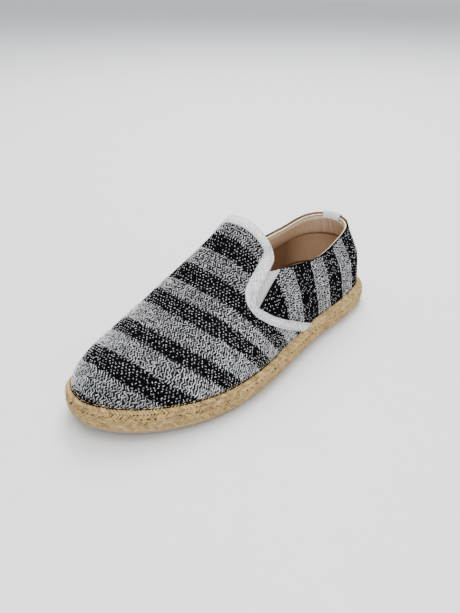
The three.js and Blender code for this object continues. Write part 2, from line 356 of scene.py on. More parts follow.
def solidify(obj: bpy.types.Object, thickness: float, inner: int) -> None:
    """Gives a sheet its wall, growing inwards, and makes it real.

    Args:
        obj: sheet whose faces point outwards.
        thickness: wall in millimetres.
        inner: material index step for the inner face and the rim.
    """
    mod = obj.modifiers.new("wall", "SOLIDIFY")
    mod.thickness = thickness * MM
    mod.offset = -1.0
    mod.use_even_offset = False
    mod.material_offset = inner
    mod.material_offset_rim = 0
    graph = bpy.context.evaluated_depsgraph_get()
    mesh = bpy.data.meshes.new_from_object(obj.evaluated_get(graph))
    obj.modifiers.clear()
    obj.data = mesh


def looks_out(face: bmesh.types.BMFace) -> float:
    """How much a face looks away from the line through the inside of the shoe."""
    centre = face.calc_center_median()
    return face.calc_area() * (centre - Vector((0, centre.y, INSIDE_HEIGHT))).dot(face.normal)


def looks_in(face: bmesh.types.BMFace) -> float:
    """How much a face looks towards the inside of the shoe."""
    return -looks_out(face)


def looks_up(face: bmesh.types.BMFace) -> float:
    """How much a face looks up."""
    return face.normal.z * face.calc_area()


def turn(obj: bpy.types.Object, looks: Callable[[bmesh.types.BMFace], float]) -> None:
    """Turns all faces of a sheet over if, taken together, they look the wrong way."""
    bm = bmesh.new()
    bm.from_mesh(obj.data)
    if sum(looks(face) for face in bm.faces) < 0:
        bmesh.ops.reverse_faces(bm, faces=bm.faces)
    bm.to_mesh(obj.data)
    bm.free()


def sheet(name: str, finishes: Sequence[Finish], grid: tuple[int, int], place: Place, metric: Place,
          node: str | None = None, looks: Callable[[bmesh.types.BMFace], float] | None = None,
          wall: float = 0.0) -> bpy.types.Object:
    """A piece made of one grid laid on the form.

    Args:
        name: the piece's name.
        finishes: the face's finish, and the wall's inner one if it differs.
        grid: faces round and up.
        place: maps shares (s, t) to points in millimetres.
        metric: maps the same shares to cloth coordinates in millimetres.
        node: solid that the piece stands for, if any.
        looks: which way its faces are to look, or None to leave them.
        wall: thickness in millimetres, 0 for a closed surface.

    Returns:
        The piece.
    """
    mesh = cloth_grid(name, *grid, place, metric)
    for finish in finishes:
        mesh.materials.append(finish.build())
    obj = to_object(name, mesh, node)
    if looks:
        turn(obj, looks)
    if wall:
        solidify(obj, wall, len(finishes) - 1)
    return obj


def even(across: float, along: float) -> Place:
    """Cloth coordinates that grow evenly over the grid, up to the two lengths in millimetres."""
    return lambda s, t: np.stack([s * across, t * along], 1)


def scatter(name: str, slot: str, finish: Finish, template: bmesh.types.BMesh, points: Array, frames: Array,
            sizes: Array, shades: Array) -> bpy.types.Object:
    """One piece of many copies of a small shape.

    Args:
        name: the piece's name.
        slot: not used.
        finish: what the copies are made of.
        template: small shape about the origin, freed here.
        points: where each copy goes, in millimetres.
        frames: its three axes as rows, one 3x3 per copy.
        sizes: its size along each axis, in millimetres.
        shades: a value per copy, kept as the attribute "shade".

    Returns:
        The piece.
    """
    template.verts.index_update()
    co = np.array([v.co for v in template.verts])
    faces = [[v.index for v in f.verts] for f in template.faces]
    template.free()
    n, m = len(points), len(co)
    local = co[None] * sizes[:, None, :]
    verts = (np.einsum("nij,nik->njk", local.transpose(0, 2, 1), frames) + points[:, None]) * MM
    sizes_of = np.array([len(f) for f in faces])
    flat = np.concatenate([np.array(f) for f in faces])
    mesh = bpy.data.meshes.new(name)
    mesh.vertices.add(n * m)
    mesh.vertices.foreach_set("co", verts.reshape(-1).astype(np.float32))
    mesh.loops.add(n * len(flat))
    mesh.loops.foreach_set("vertex_index", (flat[None] + (np.arange(n) * m)[:, None]).reshape(-1).astype(np.int32))
    mesh.polygons.add(n * len(faces))
    totals = np.tile(sizes_of, n)
    mesh.polygons.foreach_set("loop_start", np.concatenate([[0], np.cumsum(totals)[:-1]]).astype(np.int32))
    mesh.polygons.foreach_set("use_smooth", np.ones(n * len(faces), bool))
    layer = mesh.attributes.new("shade", "FLOAT", "POINT")
    layer.data.foreach_set("value", np.repeat(shades, m).astype(np.float32))
    mesh.update(calc_edges=True)
    mesh.validate()
    mesh.materials.append(finish.build())
    return to_object(name, mesh)


def stitch_row(name: str, slot: str, finish: Finish, points: Array, normals: Array,
               size: tuple[float, float, float]) -> bpy.types.Object:
    """Row of equal stitches, each along the row.

    Args:
        name: the piece's name.
        slot: passed on to scatter, which does not use it.
        finish: the thread.
        points: middle of each stitch, in millimetres.
        normals: unit vector out of the cloth at each stitch.
        size: length, width and height in millimetres.

    Returns:
        The piece.
    """
    along = np.gradient(points, axis=0)
    along = unit(along - normals * (along * normals).sum(1, keepdims=True))
    frames = np.stack([along, np.cross(normals, along), normals], 1)
    count = len(points)
    return scatter(name, slot, finish, grain_shape(6, 4), points, frames, np.tile(size, (count, 1)),
                   np.full(count, 0.5))


def grain_shape(around: int = 6, along: int = 4) -> bmesh.types.BMesh:
    """Rounded grain of yarn or straw, one unit long along x, from a low sphere."""
    bm = bmesh.new()
    bmesh.ops.create_uvsphere(bm, u_segments=around, v_segments=along, radius=0.5)
    bmesh.ops.rotate(bm, verts=bm.verts, cent=(0, 0, 0), matrix=Matrix.Rotation(HALF_TURN, 3, "Y"))
    for v in bm.verts:
        v.co.x = math.copysign(min(0.5, abs(v.co.x) * 1.12), v.co.x)
    return bm


# Finishes


class Stripe(Enum):
    """Which panel's bands: they run across the vamp and up the quarter."""

    VAMP = "vamp"
    QUARTER = "quarter"


@dataclass(frozen=True)
class Bands:
    """Light and dark bands of a panel, as levels of y plus a few terms in x and z, in millimetres."""

    x: float
    xx: float
    z: float
    zz: float
    edges: tuple[float, ...]  # from the toe towards the heel; the band before the first edge is dark

    def level(self, points: Array) -> Array:
        """Level of points along the cloth."""
        x, y, z = points[..., 0], points[..., 1], points[..., 2]
        return y + self.x * x + self.xx * x * x + self.z * z + self.zz * z * z

    def lightness(self, points: Array) -> Array:
        """1 in a light band, 0 in a dark one."""
        return (np.searchsorted(np.array(self.edges), self.level(points)) % 2).astype(float)


BANDS = {
    Stripe.VAMP: Bands(0.0685, -0.00449, 1.189, -0.00879,
                       (-104.0, -85.8, -71.2, -55.2, -43.8, -26.9, -14.3, -2.6, 10.8, 23.6, 35.0)),
    Stripe.QUARTER: Bands(0.0, 0.0, 0.12, 0.0, (-60.0, -36.0, 6.0, 25.0, 44.5, 61.5, 78.0, 96.0, 115.0, 130.0, 146.0)),
}


def _socket(tree: bpy.types.NodeTree, name: str, way: str, kind: str, value: float | None = None) -> None:
    """Adds a named socket to a node group."""
    socket = tree.interface.new_socket(name=name, in_out=way, socket_type=kind)
    if value is not None:
        socket.default_value = value


class Nodes:
    """Short hand for one node tree."""

    def __init__(self, tree: bpy.types.NodeTree) -> None:
        """Keeps the tree."""
        self.tree = tree

    def add(self, kind: str, **values: object) -> bpy.types.Node:
        """Adds a node; values name its properties or, with a leading i_, its inputs."""
        node = self.tree.nodes.new(kind)
        for key, value in values.items():
            if key.startswith("i_"):
                socket = node.inputs[key[2:].replace("_", " ")]
                if isinstance(value, bpy.types.NodeSocket):
                    self.tree.links.new(value, socket)
                else:
                    socket.default_value = value
            else:
                setattr(node, key, value)
        return node

    def join(self, out: bpy.types.NodeSocket, into: bpy.types.NodeSocket) -> None:
        """Links two sockets."""
        self.tree.links.new(out, into)

    def math(self, how: str, a: object, b: object = 0.0, c: object = 0.0, clamp: bool = False) -> bpy.types.NodeSocket:
        """One Math node's value."""
        node = self.add("ShaderNodeMath", operation=how, use_clamp=clamp)
        for k, value in enumerate((a, b, c)):
            if isinstance(value, bpy.types.NodeSocket):
                self.join(value, node.inputs[k])
            else:
                node.inputs[k].default_value = value
        return node.outputs[0]

    def mix(self, factor: object, a: object, b: object, how: str = "MIX") -> bpy.types.NodeSocket:
        """One colour mix."""
        node = self.add("ShaderNodeMix", data_type="RGBA", blend_type=how)
        for index, value in ((0, factor), (6, a), (7, b)):
            if isinstance(value, bpy.types.NodeSocket):
                self.join(value, node.inputs[index])
            else:
                node.inputs[index].default_value = value
        return node.outputs[2]

    def ramp(self, value: bpy.types.NodeSocket, stops: Sequence[tuple[float, tuple[float, float, float]]],
             step: bool = False) -> bpy.types.NodeSocket:
        """Colour ramp with the given stops."""
        node = self.add("ShaderNodeValToRGB")
        ramp = node.color_ramp
        ramp.interpolation = "CONSTANT" if step else "LINEAR"
        while len(ramp.elements) < len(stops):
            ramp.elements.new(0.5)
        for element, (place, colour) in zip(ramp.elements, stops):
            element.position, element.color = place, (*colour, 1.0)
        self.join(value, node.inputs[0])
        return node.outputs[0]

    def noise(self, vector: bpy.types.NodeSocket, scale: object, detail: float = 3.0) -> bpy.types.NodeSocket:
        """Noise value from 0 to 1; the scale is a number or a socket."""
        return self.add("ShaderNodeTexNoise", i_Vector=vector, i_Scale=scale, i_Detail=detail).outputs["Fac"]


def fibre_group() -> bpy.types.NodeTree:
    """Shared effect: fine fibres and soft unevenness. Puts out a height and a small change of shade."""
    tree = bpy.data.node_groups.new("fibre", "ShaderNodeTree")
    _socket(tree, "Vector", "INPUT", "NodeSocketVector")
    _socket(tree, "Fineness", "INPUT", "NodeSocketFloat", 2500.0)
    _socket(tree, "Height", "OUTPUT", "NodeSocketFloat")
    _socket(tree, "Shade", "OUTPUT", "NodeSocketFloat")
    n = Nodes(tree)
    start, end = n.add("NodeGroupInput"), n.add("NodeGroupOutput")
    fine = n.noise(start.outputs["Vector"], start.outputs["Fineness"])
    broad = n.noise(start.outputs["Vector"], 45.0, 2.0)
    n.join(fine, end.inputs["Height"])
    mixed = n.math("MULTIPLY_ADD", broad, 0.6, n.math("MULTIPLY", fine, 0.4))
    n.join(mixed, end.inputs["Shade"])
    return tree


def soil_group() -> bpy.types.NodeTree:
    """Shared effect: faint soil that gathers low on the shoe, in patches. Puts out a mask."""
    tree = bpy.data.node_groups.new("soil", "ShaderNodeTree")
    _socket(tree, "Vector", "INPUT", "NodeSocketVector")
    _socket(tree, "Top", "INPUT", "NodeSocketFloat", 0.02)
    _socket(tree, "Mask", "OUTPUT", "NodeSocketFloat")
    n = Nodes(tree)
    start, end = n.add("NodeGroupInput"), n.add("NodeGroupOutput")
    height = n.add("ShaderNodeSeparateXYZ", i_Vector=start.outputs["Vector"]).outputs["Z"]
    low = n.math("SUBTRACT", 1.0, n.math("DIVIDE", height, start.outputs["Top"]), clamp=True)
    patch = n.noise(start.outputs["Vector"], 60.0, 4.0)
    n.join(n.math("MULTIPLY", low, patch, clamp=True), end.inputs["Mask"])
    return tree


@dataclass(frozen=True)
class Finish:
    """A matt finish with fibres, two shades and a bump."""

    name: str
    dark: tuple[float, float, float]
    light: tuple[float, float, float]
    roughness: float = 0.85
    fineness: float = 2500.0
    bump: float = 0.35
    bump_mm: float = 0.25
    sheen: float = 0.0
    specular: float = 0.3

    def start(self) -> tuple[bpy.types.Material, Nodes, bpy.types.Node, bpy.types.Node]:
        """New material with its shader and coordinates."""
        mat = bpy.data.materials.new(self.name)
        mat.use_nodes = True
        n = Nodes(mat.node_tree)
        shader = mat.node_tree.nodes["Principled BSDF"]
        shader.inputs["Roughness"].default_value = self.roughness
        shader.inputs["Specular IOR Level"].default_value = self.specular
        shader.inputs["Sheen Weight"].default_value = self.sheen
        return mat, n, shader, n.add("ShaderNodeTexCoord")

    def fibres(self, n: Nodes, vector: bpy.types.NodeSocket) -> bpy.types.Node:
        """Places the shared fibre effect."""
        group = n.add("ShaderNodeGroup", node_tree=bpy.data.node_groups["fibre"])
        n.join(vector, group.inputs["Vector"])
        group.inputs["Fineness"].default_value = self.fineness
        return group

    def soil(self, n: Nodes, vector: bpy.types.NodeSocket, top: float) -> bpy.types.NodeSocket:
        """Places the shared soil effect, up to a height in metres."""
        group = n.add("ShaderNodeGroup", node_tree=bpy.data.node_groups["soil"])
        n.join(vector, group.inputs["Vector"])
        group.inputs["Top"].default_value = top
        return group.outputs["Mask"]

    def between(self, n: Nodes, share: bpy.types.NodeSocket) -> bpy.types.NodeSocket:
        """Colour between the dark and the light one."""
        return n.mix(share, (*self.dark, 1), (*self.light, 1))

    def relief(self, n: Nodes, shader: bpy.types.Node, height: bpy.types.NodeSocket) -> None:
        """Feeds a height to the shader's normal."""
        bump = n.add("ShaderNodeBump", i_Strength=self.bump, i_Distance=self.bump_mm * MM, i_Height=height)
        n.join(bump.outputs[0], shader.inputs["Normal"])

    def build(self) -> bpy.types.Material:
        """Plain cloth, leather or rubber: fibre shade between the two colours."""
        mat, n, shader, coords = self.start()
        fibre = self.fibres(n, coords.outputs["Object"])
        n.join(self.between(n, fibre.outputs["Shade"]), shader.inputs["Base Color"])
        self.relief(n, shader, fibre.outputs["Height"])
        return mat


@dataclass(frozen=True)
class StrawFinish(Finish):
    """Jute: strands of changing shade and faint soil low down; the dark core's painted shade shows in the gaps."""

    soil_top: float = 0.016  # metres
    soil_colour: tuple[float, float, float] = (0.30, 0.22, 0.13)

    def build(self) -> bpy.types.Material:
        """Straw with a shade for each strand and fine fibres along it."""
        mat, n, shader, coords = self.start()
        fibre = self.fibres(n, coords.outputs["Object"])
        each = n.add("ShaderNodeAttribute", attribute_name="shade").outputs["Fac"]
        shade = n.math("MULTIPLY_ADD", each, 0.65, n.math("MULTIPLY", fibre.outputs["Shade"], 0.45), clamp=True)
        straw = self.between(n, shade)
        dull = n.math("MULTIPLY", self.soil(n, coords.outputs["Object"], self.soil_top), 0.45)
        n.join(n.mix(dull, straw, (*self.soil_colour, 1)), shader.inputs["Base Color"])
        self.relief(n, shader, fibre.outputs["Height"])
        return mat


@dataclass(frozen=True)
class KnitFinish(Finish):
    """Ground cloth of the striped knit: grey mixture in the light bands, near black in the dark ones."""

    stripe: Stripe = Stripe.VAMP

    def band(self, n: Nodes, vector: bpy.types.NodeSocket) -> bpy.types.NodeSocket:
        """1 in a light band, 0 in a dark one, from Object coordinates."""
        bands = BANDS[self.stripe]
        if self.stripe is Stripe.QUARTER:
            cloth = n.add("ShaderNodeUVMap", uv_map="cloth").outputs["UV"]
            split = n.add("ShaderNodeSeparateXYZ", i_Vector=cloth)
            x, y, z = split.outputs["Z"], split.outputs["X"], split.outputs["Y"]
        else:
            split = n.add("ShaderNodeSeparateXYZ", i_Vector=vector)
            x, y, z = (split.outputs[k] for k in "XYZ")
        level = n.math("MULTIPLY_ADD", x, bands.x, y)
        level = n.math("MULTIPLY_ADD", n.math("MULTIPLY", x, x), bands.xx / MM, level)
        level = n.math("MULTIPLY_ADD", z, bands.z, level)
        level = n.math("MULTIPLY_ADD", n.math("MULTIPLY", z, z), bands.zz / MM, level)
        level = n.math("MULTIPLY_ADD", n.math("SUBTRACT", n.noise(vector, 300.0, 2.0), 0.5), 0.002, level)
        low, high = bands.edges[0] - 5.0, bands.edges[-1] + 5.0
        place = n.math("DIVIDE", n.math("SUBTRACT", level, low * MM), (high - low) * MM, clamp=True)
        stops = [(0.0, (0.0, 0.0, 0.0))]
        for k, edge in enumerate(bands.edges):
            stops.append(((edge - low) / (high - low), (1.0, 1.0, 1.0) if k % 2 == 0 else (0.0, 0.0, 0.0)))
        return n.ramp(place, stops, step=True)

    def build(self) -> bpy.types.Material:
        """Bands with fine slanted yarn."""
        mat, n, shader, coords = self.start()
        vector = coords.outputs["Object"]
        fibre = self.fibres(n, vector)
        band = self.band(n, vector)
        cloth = n.add("ShaderNodeUVMap", uv_map="cloth").outputs["UV"]
        yarn = n.add("ShaderNodeTexWave", i_Vector=cloth, i_Scale=210.0, i_Distortion=3.0, i_Detail=2.0,
                     i_Detail_Scale=3.0, bands_direction="DIAGONAL").outputs["Fac"]
        speck = n.math("MULTIPLY", n.math("SUBTRACT", n.noise(vector, 900.0, 1.0), 0.40), 3.2, clamp=True)
        mixture = n.math("MULTIPLY", n.math("MULTIPLY_ADD", yarn, 0.5, 0.25), speck, clamp=True)
        light = self.between(n, mixture)
        black = n.mix(fibre.outputs["Shade"], (0.0012, 0.0012, 0.0015, 1), (0.006, 0.006, 0.007, 1))
        n.join(n.mix(band, black, light), shader.inputs["Base Color"])
        self.relief(n, shader, n.math("MULTIPLY_ADD", yarn, 0.6, fibre.outputs["Height"]))
        return mat


@dataclass(frozen=True)
class YarnFinish(Finish):
    """Raised yarn floats, each with its own shade."""

    def build(self) -> bpy.types.Material:
        """Colour by the float's own shade, with fibres."""
        mat, n, shader, coords = self.start()
        fibre = self.fibres(n, coords.outputs["Object"])
        each = n.add("ShaderNodeAttribute", attribute_name="shade").outputs["Fac"]
        shade = n.math("MULTIPLY_ADD", fibre.outputs["Shade"], 0.25, n.math("MULTIPLY", each, 0.85), clamp=True)
        n.join(self.between(n, shade), shader.inputs["Base Color"])
        self.relief(n, shader, fibre.outputs["Height"])
        return mat


@dataclass(frozen=True)
class RibFinish(Finish):
    """Tape or elastic: fine ribs across its cloth coordinates and small dark pricks."""

    ribs: float = 900.0
    pricks: float = 0.0

    def build(self) -> bpy.types.Material:
        """Ribs with fibre shade."""
        mat, n, shader, coords = self.start()
        fibre = self.fibres(n, coords.outputs["Object"])
        cloth = n.add("ShaderNodeUVMap", uv_map="cloth").outputs["UV"]
        rib = n.add("ShaderNodeTexWave", i_Vector=cloth, i_Scale=self.ribs, i_Distortion=0.6, i_Detail=1.0,
                    bands_direction="X").outputs["Fac"]
        shade = n.math("MULTIPLY_ADD", rib, 0.55, n.math("MULTIPLY", fibre.outputs["Shade"], 0.55), clamp=True)
        colour = self.between(n, shade)
        if self.pricks:
            cell = n.add("ShaderNodeTexVoronoi", i_Vector=coords.outputs["Object"], i_Scale=520.0).outputs["Distance"]
            prick = n.math("MULTIPLY", n.math("LESS_THAN", cell, 0.22), self.pricks)
            colour = n.mix(prick, colour, (0.10, 0.10, 0.11, 1))
        n.join(colour, shader.inputs["Base Color"])
        self.relief(n, shader, n.math("MULTIPLY_ADD", rib, 0.9, n.math("MULTIPLY", fibre.outputs["Height"], 0.5)))
        return mat


@dataclass(frozen=True)
class LiningFinish(Finish):
    """Tan lining: soft grain, broad wear patches, and painted shade that darkens it low down and ahead."""

    low: float = 0.047  # height under which the painted shade gets darker, in metres like the other lengths here
    low_run: float = 0.010
    back: float = 0.130  # y ahead of which the painted shade gets darker
    back_run: float = 0.034
    # strength of the painted shade low down and higher up, and in all; then the shade's colour
    low_share: float = 0.80
    high_share: float = 0.16
    depth: float = 0.92
    painted_shade: tuple[float, float, float] = (0.14, 0.055, 0.014)

    def build(self) -> bpy.types.Material:
        """Leather grain from small cells, with rubbed patches and painted shade low down and ahead."""
        mat, n, shader, coords = self.start()
        vector = coords.outputs["Object"]
        fibre = self.fibres(n, vector)
        cells = n.add("ShaderNodeTexVoronoi", i_Vector=vector, i_Scale=900.0).outputs["Distance"]
        worn = n.noise(vector, 28.0, 4.0)
        shade = n.math("MULTIPLY_ADD", worn, 0.7, n.math("MULTIPLY", fibre.outputs["Shade"], 0.35), clamp=True)
        # painted shade: the colour goes towards the shade colour under a height and ahead of a y
        split = n.add("ShaderNodeSeparateXYZ", i_Vector=vector)
        under = n.math("DIVIDE", n.math("SUBTRACT", self.low, split.outputs["Z"]), self.low_run, clamp=True)
        ahead = n.math("DIVIDE", n.math("SUBTRACT", self.back, split.outputs["Y"]), self.back_run, clamp=True)
        painted_shade = n.math("MULTIPLY_ADD", under, self.low_share, self.high_share)
        painted_shade = n.math("MULTIPLY", n.math("MULTIPLY", ahead, painted_shade, clamp=True), self.depth)
        n.join(n.mix(painted_shade, self.between(n, shade), (*self.painted_shade, 1)), shader.inputs["Base Color"])
        rough = n.math("MULTIPLY_ADD", worn, 0.25, self.roughness - 0.12)
        n.join(rough, shader.inputs["Roughness"])
        self.relief(n, shader, n.math("MULTIPLY_ADD", cells, 0.8, n.math("MULTIPLY", fibre.outputs["Height"], 0.3)))
        return mat


@dataclass(frozen=True)
class RubberFinish(Finish):
    """Gum outsole with a moulded wave tread underneath."""

    soil_top: float = 0.006  # metres
    soil_colour: tuple[float, float, float] = (0.16, 0.13, 0.10)

    def build(self) -> bpy.types.Material:
        """Fine waves across the sole as relief."""
        mat, n, shader, coords = self.start()
        vector = coords.outputs["Object"]
        fibre = self.fibres(n, vector)
        dull = n.math("MULTIPLY", self.soil(n, vector, self.soil_top), 0.5)
        gum = self.between(n, fibre.outputs["Shade"])
        n.join(n.mix(dull, gum, (*self.soil_colour, 1)), shader.inputs["Base Color"])
        wave = n.add("ShaderNodeTexWave", i_Vector=vector, i_Scale=60.0, i_Distortion=0.0, bands_direction="Y")
        self.relief(n, shader, n.math("MULTIPLY_ADD", wave.outputs["Fac"], 1.5, fibre.outputs["Height"]))
        return mat


KNIT = {
    Stripe.VAMP: KnitFinish("knit_vamp", (0.002, 0.002, 0.0025), (0.085, 0.085, 0.088), 0.95, 2600, 0.6, 0.35,
                            specular=0.0),
    Stripe.QUARTER: KnitFinish("knit_quarter", (0.002, 0.002, 0.0025), (0.085, 0.085, 0.088), 0.95, 2600, 0.6, 0.35,
                               specular=0.0, stripe=Stripe.QUARTER),
}
YARN = YarnFinish("yarn", (0.07, 0.07, 0.075), (0.95, 0.95, 0.96), 0.62, 4200, 0.3, 0.1, 0.1)
STRAW = StrawFinish("straw", (0.13, 0.075, 0.025), (0.74, 0.52, 0.235), 0.88, 3200, 0.5, 0.2, 0.0, 0.12)
# Near-black jute: painted shade for the core between the strands and for the stitch holes.
STRAW_PAINTED_SHADE = Finish("straw_painted_shade", (0.020, 0.012, 0.005), (0.07, 0.04, 0.016), 0.95, 2400, 0.6, 0.4)
TAPE_CLOTH = RibFinish("tape_cloth", (0.50, 0.51, 0.52), (0.92, 0.92, 0.93), 0.55, 2400, 0.5, 0.15, 0.1,
                       ribs=700.0, pricks=0.45)
ELASTIC_CLOTH = RibFinish("elastic_cloth", (0.34, 0.34, 0.33), (0.74, 0.73, 0.71), 0.8, 2400, 0.6, 0.35,
                          ribs=430.0)
LINING = LiningFinish("lining", (0.52, 0.34, 0.19), (0.84, 0.64, 0.45), 0.62, 3000, 0.35, 0.12)
# Darker copy of the lining: painted shade for the lining under the vamp and the inside of the upper.
LINING_PAINTED_SHADE = LiningFinish("lining_painted_shade", (0.24, 0.125, 0.055), (0.42, 0.25, 0.13), 0.7, 3000, 0.35, 0.12)
SHADOW = Finish("shadow", (0.003, 0.003, 0.003), (0.012, 0.011, 0.010), 0.95, 2400, 0.2, 0.1, specular=0.05)
PIPING = Finish("piping", (0.58, 0.43, 0.28), (0.86, 0.70, 0.52), 0.6, 3500, 0.25, 0.08, 0.1)
GUM = RubberFinish("gum", (0.30, 0.22, 0.13), (0.46, 0.36, 0.22), 0.75, 1800, 0.5, 0.3)


# Pieces


@dataclass(frozen=True)
class Crease:
    """A soft trough or ridge in the cloth, between two points of the form."""

    start: tuple[float, float]  # place round, share of the quarter turn
    end: tuple[float, float]
    depth: float  # millimetres, negative for a ridge
    width: float  # millimetres


CREASES = (
    # outer side of the vamp, from the gore's foot towards the ball
    Crease((6.35, 0.42), (7.30, 0.50), 0.55, 5.0),
    Crease((6.55, 0.30), (7.60, 0.34), 0.45, 4.5),
    Crease((6.45, 0.62), (7.15, 0.80), 0.40, 5.5),
    # inner side of the vamp
    Crease((15.60, 0.45), (14.60, 0.55), 0.50, 5.5),
    Crease((15.45, 0.66), (14.75, 0.82), 0.40, 5.0),
    # toe, where the cloth is drawn down to the sole
    Crease((9.40, 0.08), (9.50, 0.40), 0.35, 4.0),
    Crease((10.60, 0.06), (10.55, 0.34), 0.30, 4.0),
    Crease((12.30, 0.06), (12.25, 0.36), 0.30, 4.0),
    Crease((13.50, 0.06), (13.45, 0.34), 0.30, 4.5),
    # quarter
    Crease((3.60, 0.35), (4.60, 0.55), 0.50, 6.0),
    Crease((18.40, 0.35), (17.40, 0.55), 0.50, 6.0),
    Crease((1.90, 0.20), (2.30, 0.80), 0.45, 6.0),
    Crease((20.10, 0.20), (19.70, 0.80), 0.45, 6.0),
    Crease((4.90, 0.20), (5.40, 0.60), -0.35, 6.0),
)


WAVER = 0.18  # slow unevenness of the cloth, millimetres


def sag(u: Array, angle: Array) -> Array:
    """Offset of the cloth from its smooth form in millimetres, from the creases and a slow waver.

    Args:
        u: place round the shoe.
        angle: rise up the form.

    Returns:
        Offsets, negative inwards.
    """
    u, angle = np.broadcast_arrays(np.asarray(u, float), angle)
    place = LAST.surface(u, angle)
    out = WAVER * np.sin(u * 2.3 + 4.0 * angle) * np.sin(2 * angle) ** 2
    for crease in CREASES:
        ends = [LAST.surface(np.array([a]), np.array([b * HALF_TURN]))[0] for a, b in (crease.start, crease.end)]
        run = ends[1] - ends[0]
        share = ((place - ends[0]) @ run / (run @ run)).clip(0, 1)
        away = np.linalg.norm(place - ends[0] - share[..., None] * run, axis=-1) / crease.width
        fade = 0.35 + 0.65 * np.sin(np.pi * share.clip(0.08, 0.92))
        out = out - crease.depth * fade * np.exp(-(away**2) * 1.6)
    return out


FOOT_DIP, FOOT_ANGLE = 0.9, 0.03  # how far the foot of a cloth goes down, over which angle
FOOT_CLEAR = 0.004  # angle left free of floats at the foot


def dipped(points: Array, angle: Array) -> Array:
    """Points of a cloth, its foot drawn down to the sole."""
    points[:, 2] -= FOOT_DIP * smooth(1 - angle / FOOT_ANGLE)
    return points


class Vamp:
    """Front of the upper: cloth over the toe and the instep, between the two free edges."""

    COLUMNS, ROWS = 220, 96
    LOWEST, HIGHEST = 0.0003, 0.9995  # shares of the quarter turn
    WALL = 0.8
    BEHIND_EDGE = 0.9  # how far the cloth ends behind the free edge, under the tape
    CLEAR = 0.03  # places left free of floats at the edge

    def __init__(self) -> None:
        """Works out where the free edge meets each row."""
        self.angles = HALF_TURN * np.linspace(self.LOWEST, self.HIGHEST, self.ROWS + 1)
        line = FREE_EDGE.moved(self.BEHIND_EDGE)
        self.outer = free_place(self.angles, line, 1)
        self.inner = free_place(self.angles, line, -1)

    def shares(self, s: Array, t: Array) -> tuple[Array, Array]:
        """Place and angle at shares s round and t up."""
        row = t * self.ROWS
        first = np.interp(row, np.arange(self.ROWS + 1), self.outer)
        last = np.interp(row, np.arange(self.ROWS + 1), self.inner)
        return first + (last - first) * s, np.interp(row, np.arange(self.ROWS + 1), self.angles)

    def place(self, s: Array, t: Array) -> Array:
        """Point of the cloth's outer face."""
        u, angle = self.shares(s, t)
        return self.face(u, angle)

    def face(self, u: Array, angle: Array) -> Array:
        """Point of the outer face at a place and angle; the foot of the cloth dips to the sole."""
        return dipped(LAST.surface(u, angle, VAMP_STEP + sag(u, angle)), angle)

    def flat(self, u: Array, angle: Array) -> Array:
        """Point that the bands are read at."""
        return LAST.surface(u, angle, VAMP_STEP)

    def holds(self, u: Array, angle: Array, side: int) -> Array:
        """Whether places lie on the cloth."""
        first = np.interp(angle, self.angles, self.outer) + self.CLEAR
        last = np.interp(angle, self.angles, self.inner) - self.CLEAR
        return (u > first) & (u < last) & (angle > FOOT_CLEAR)

    def metric(self, s: Array, t: Array) -> Array:
        """Cloth coordinates: across and along in plan."""
        p = self.place(s, t)
        return np.stack([p[:, 0] + 0.4 * p[:, 2] * np.sign(p[:, 0]), p[:, 1] + 0.6 * p[:, 2]], 1)

    def build(self) -> bpy.types.Object:
        """The vamp's cloth."""
        return sheet("vamp_cloth", (KNIT[Stripe.VAMP], LINING_PAINTED_SHADE), (self.COLUMNS, self.ROWS), self.place,
                     self.metric, "upper", looks_out, self.WALL)


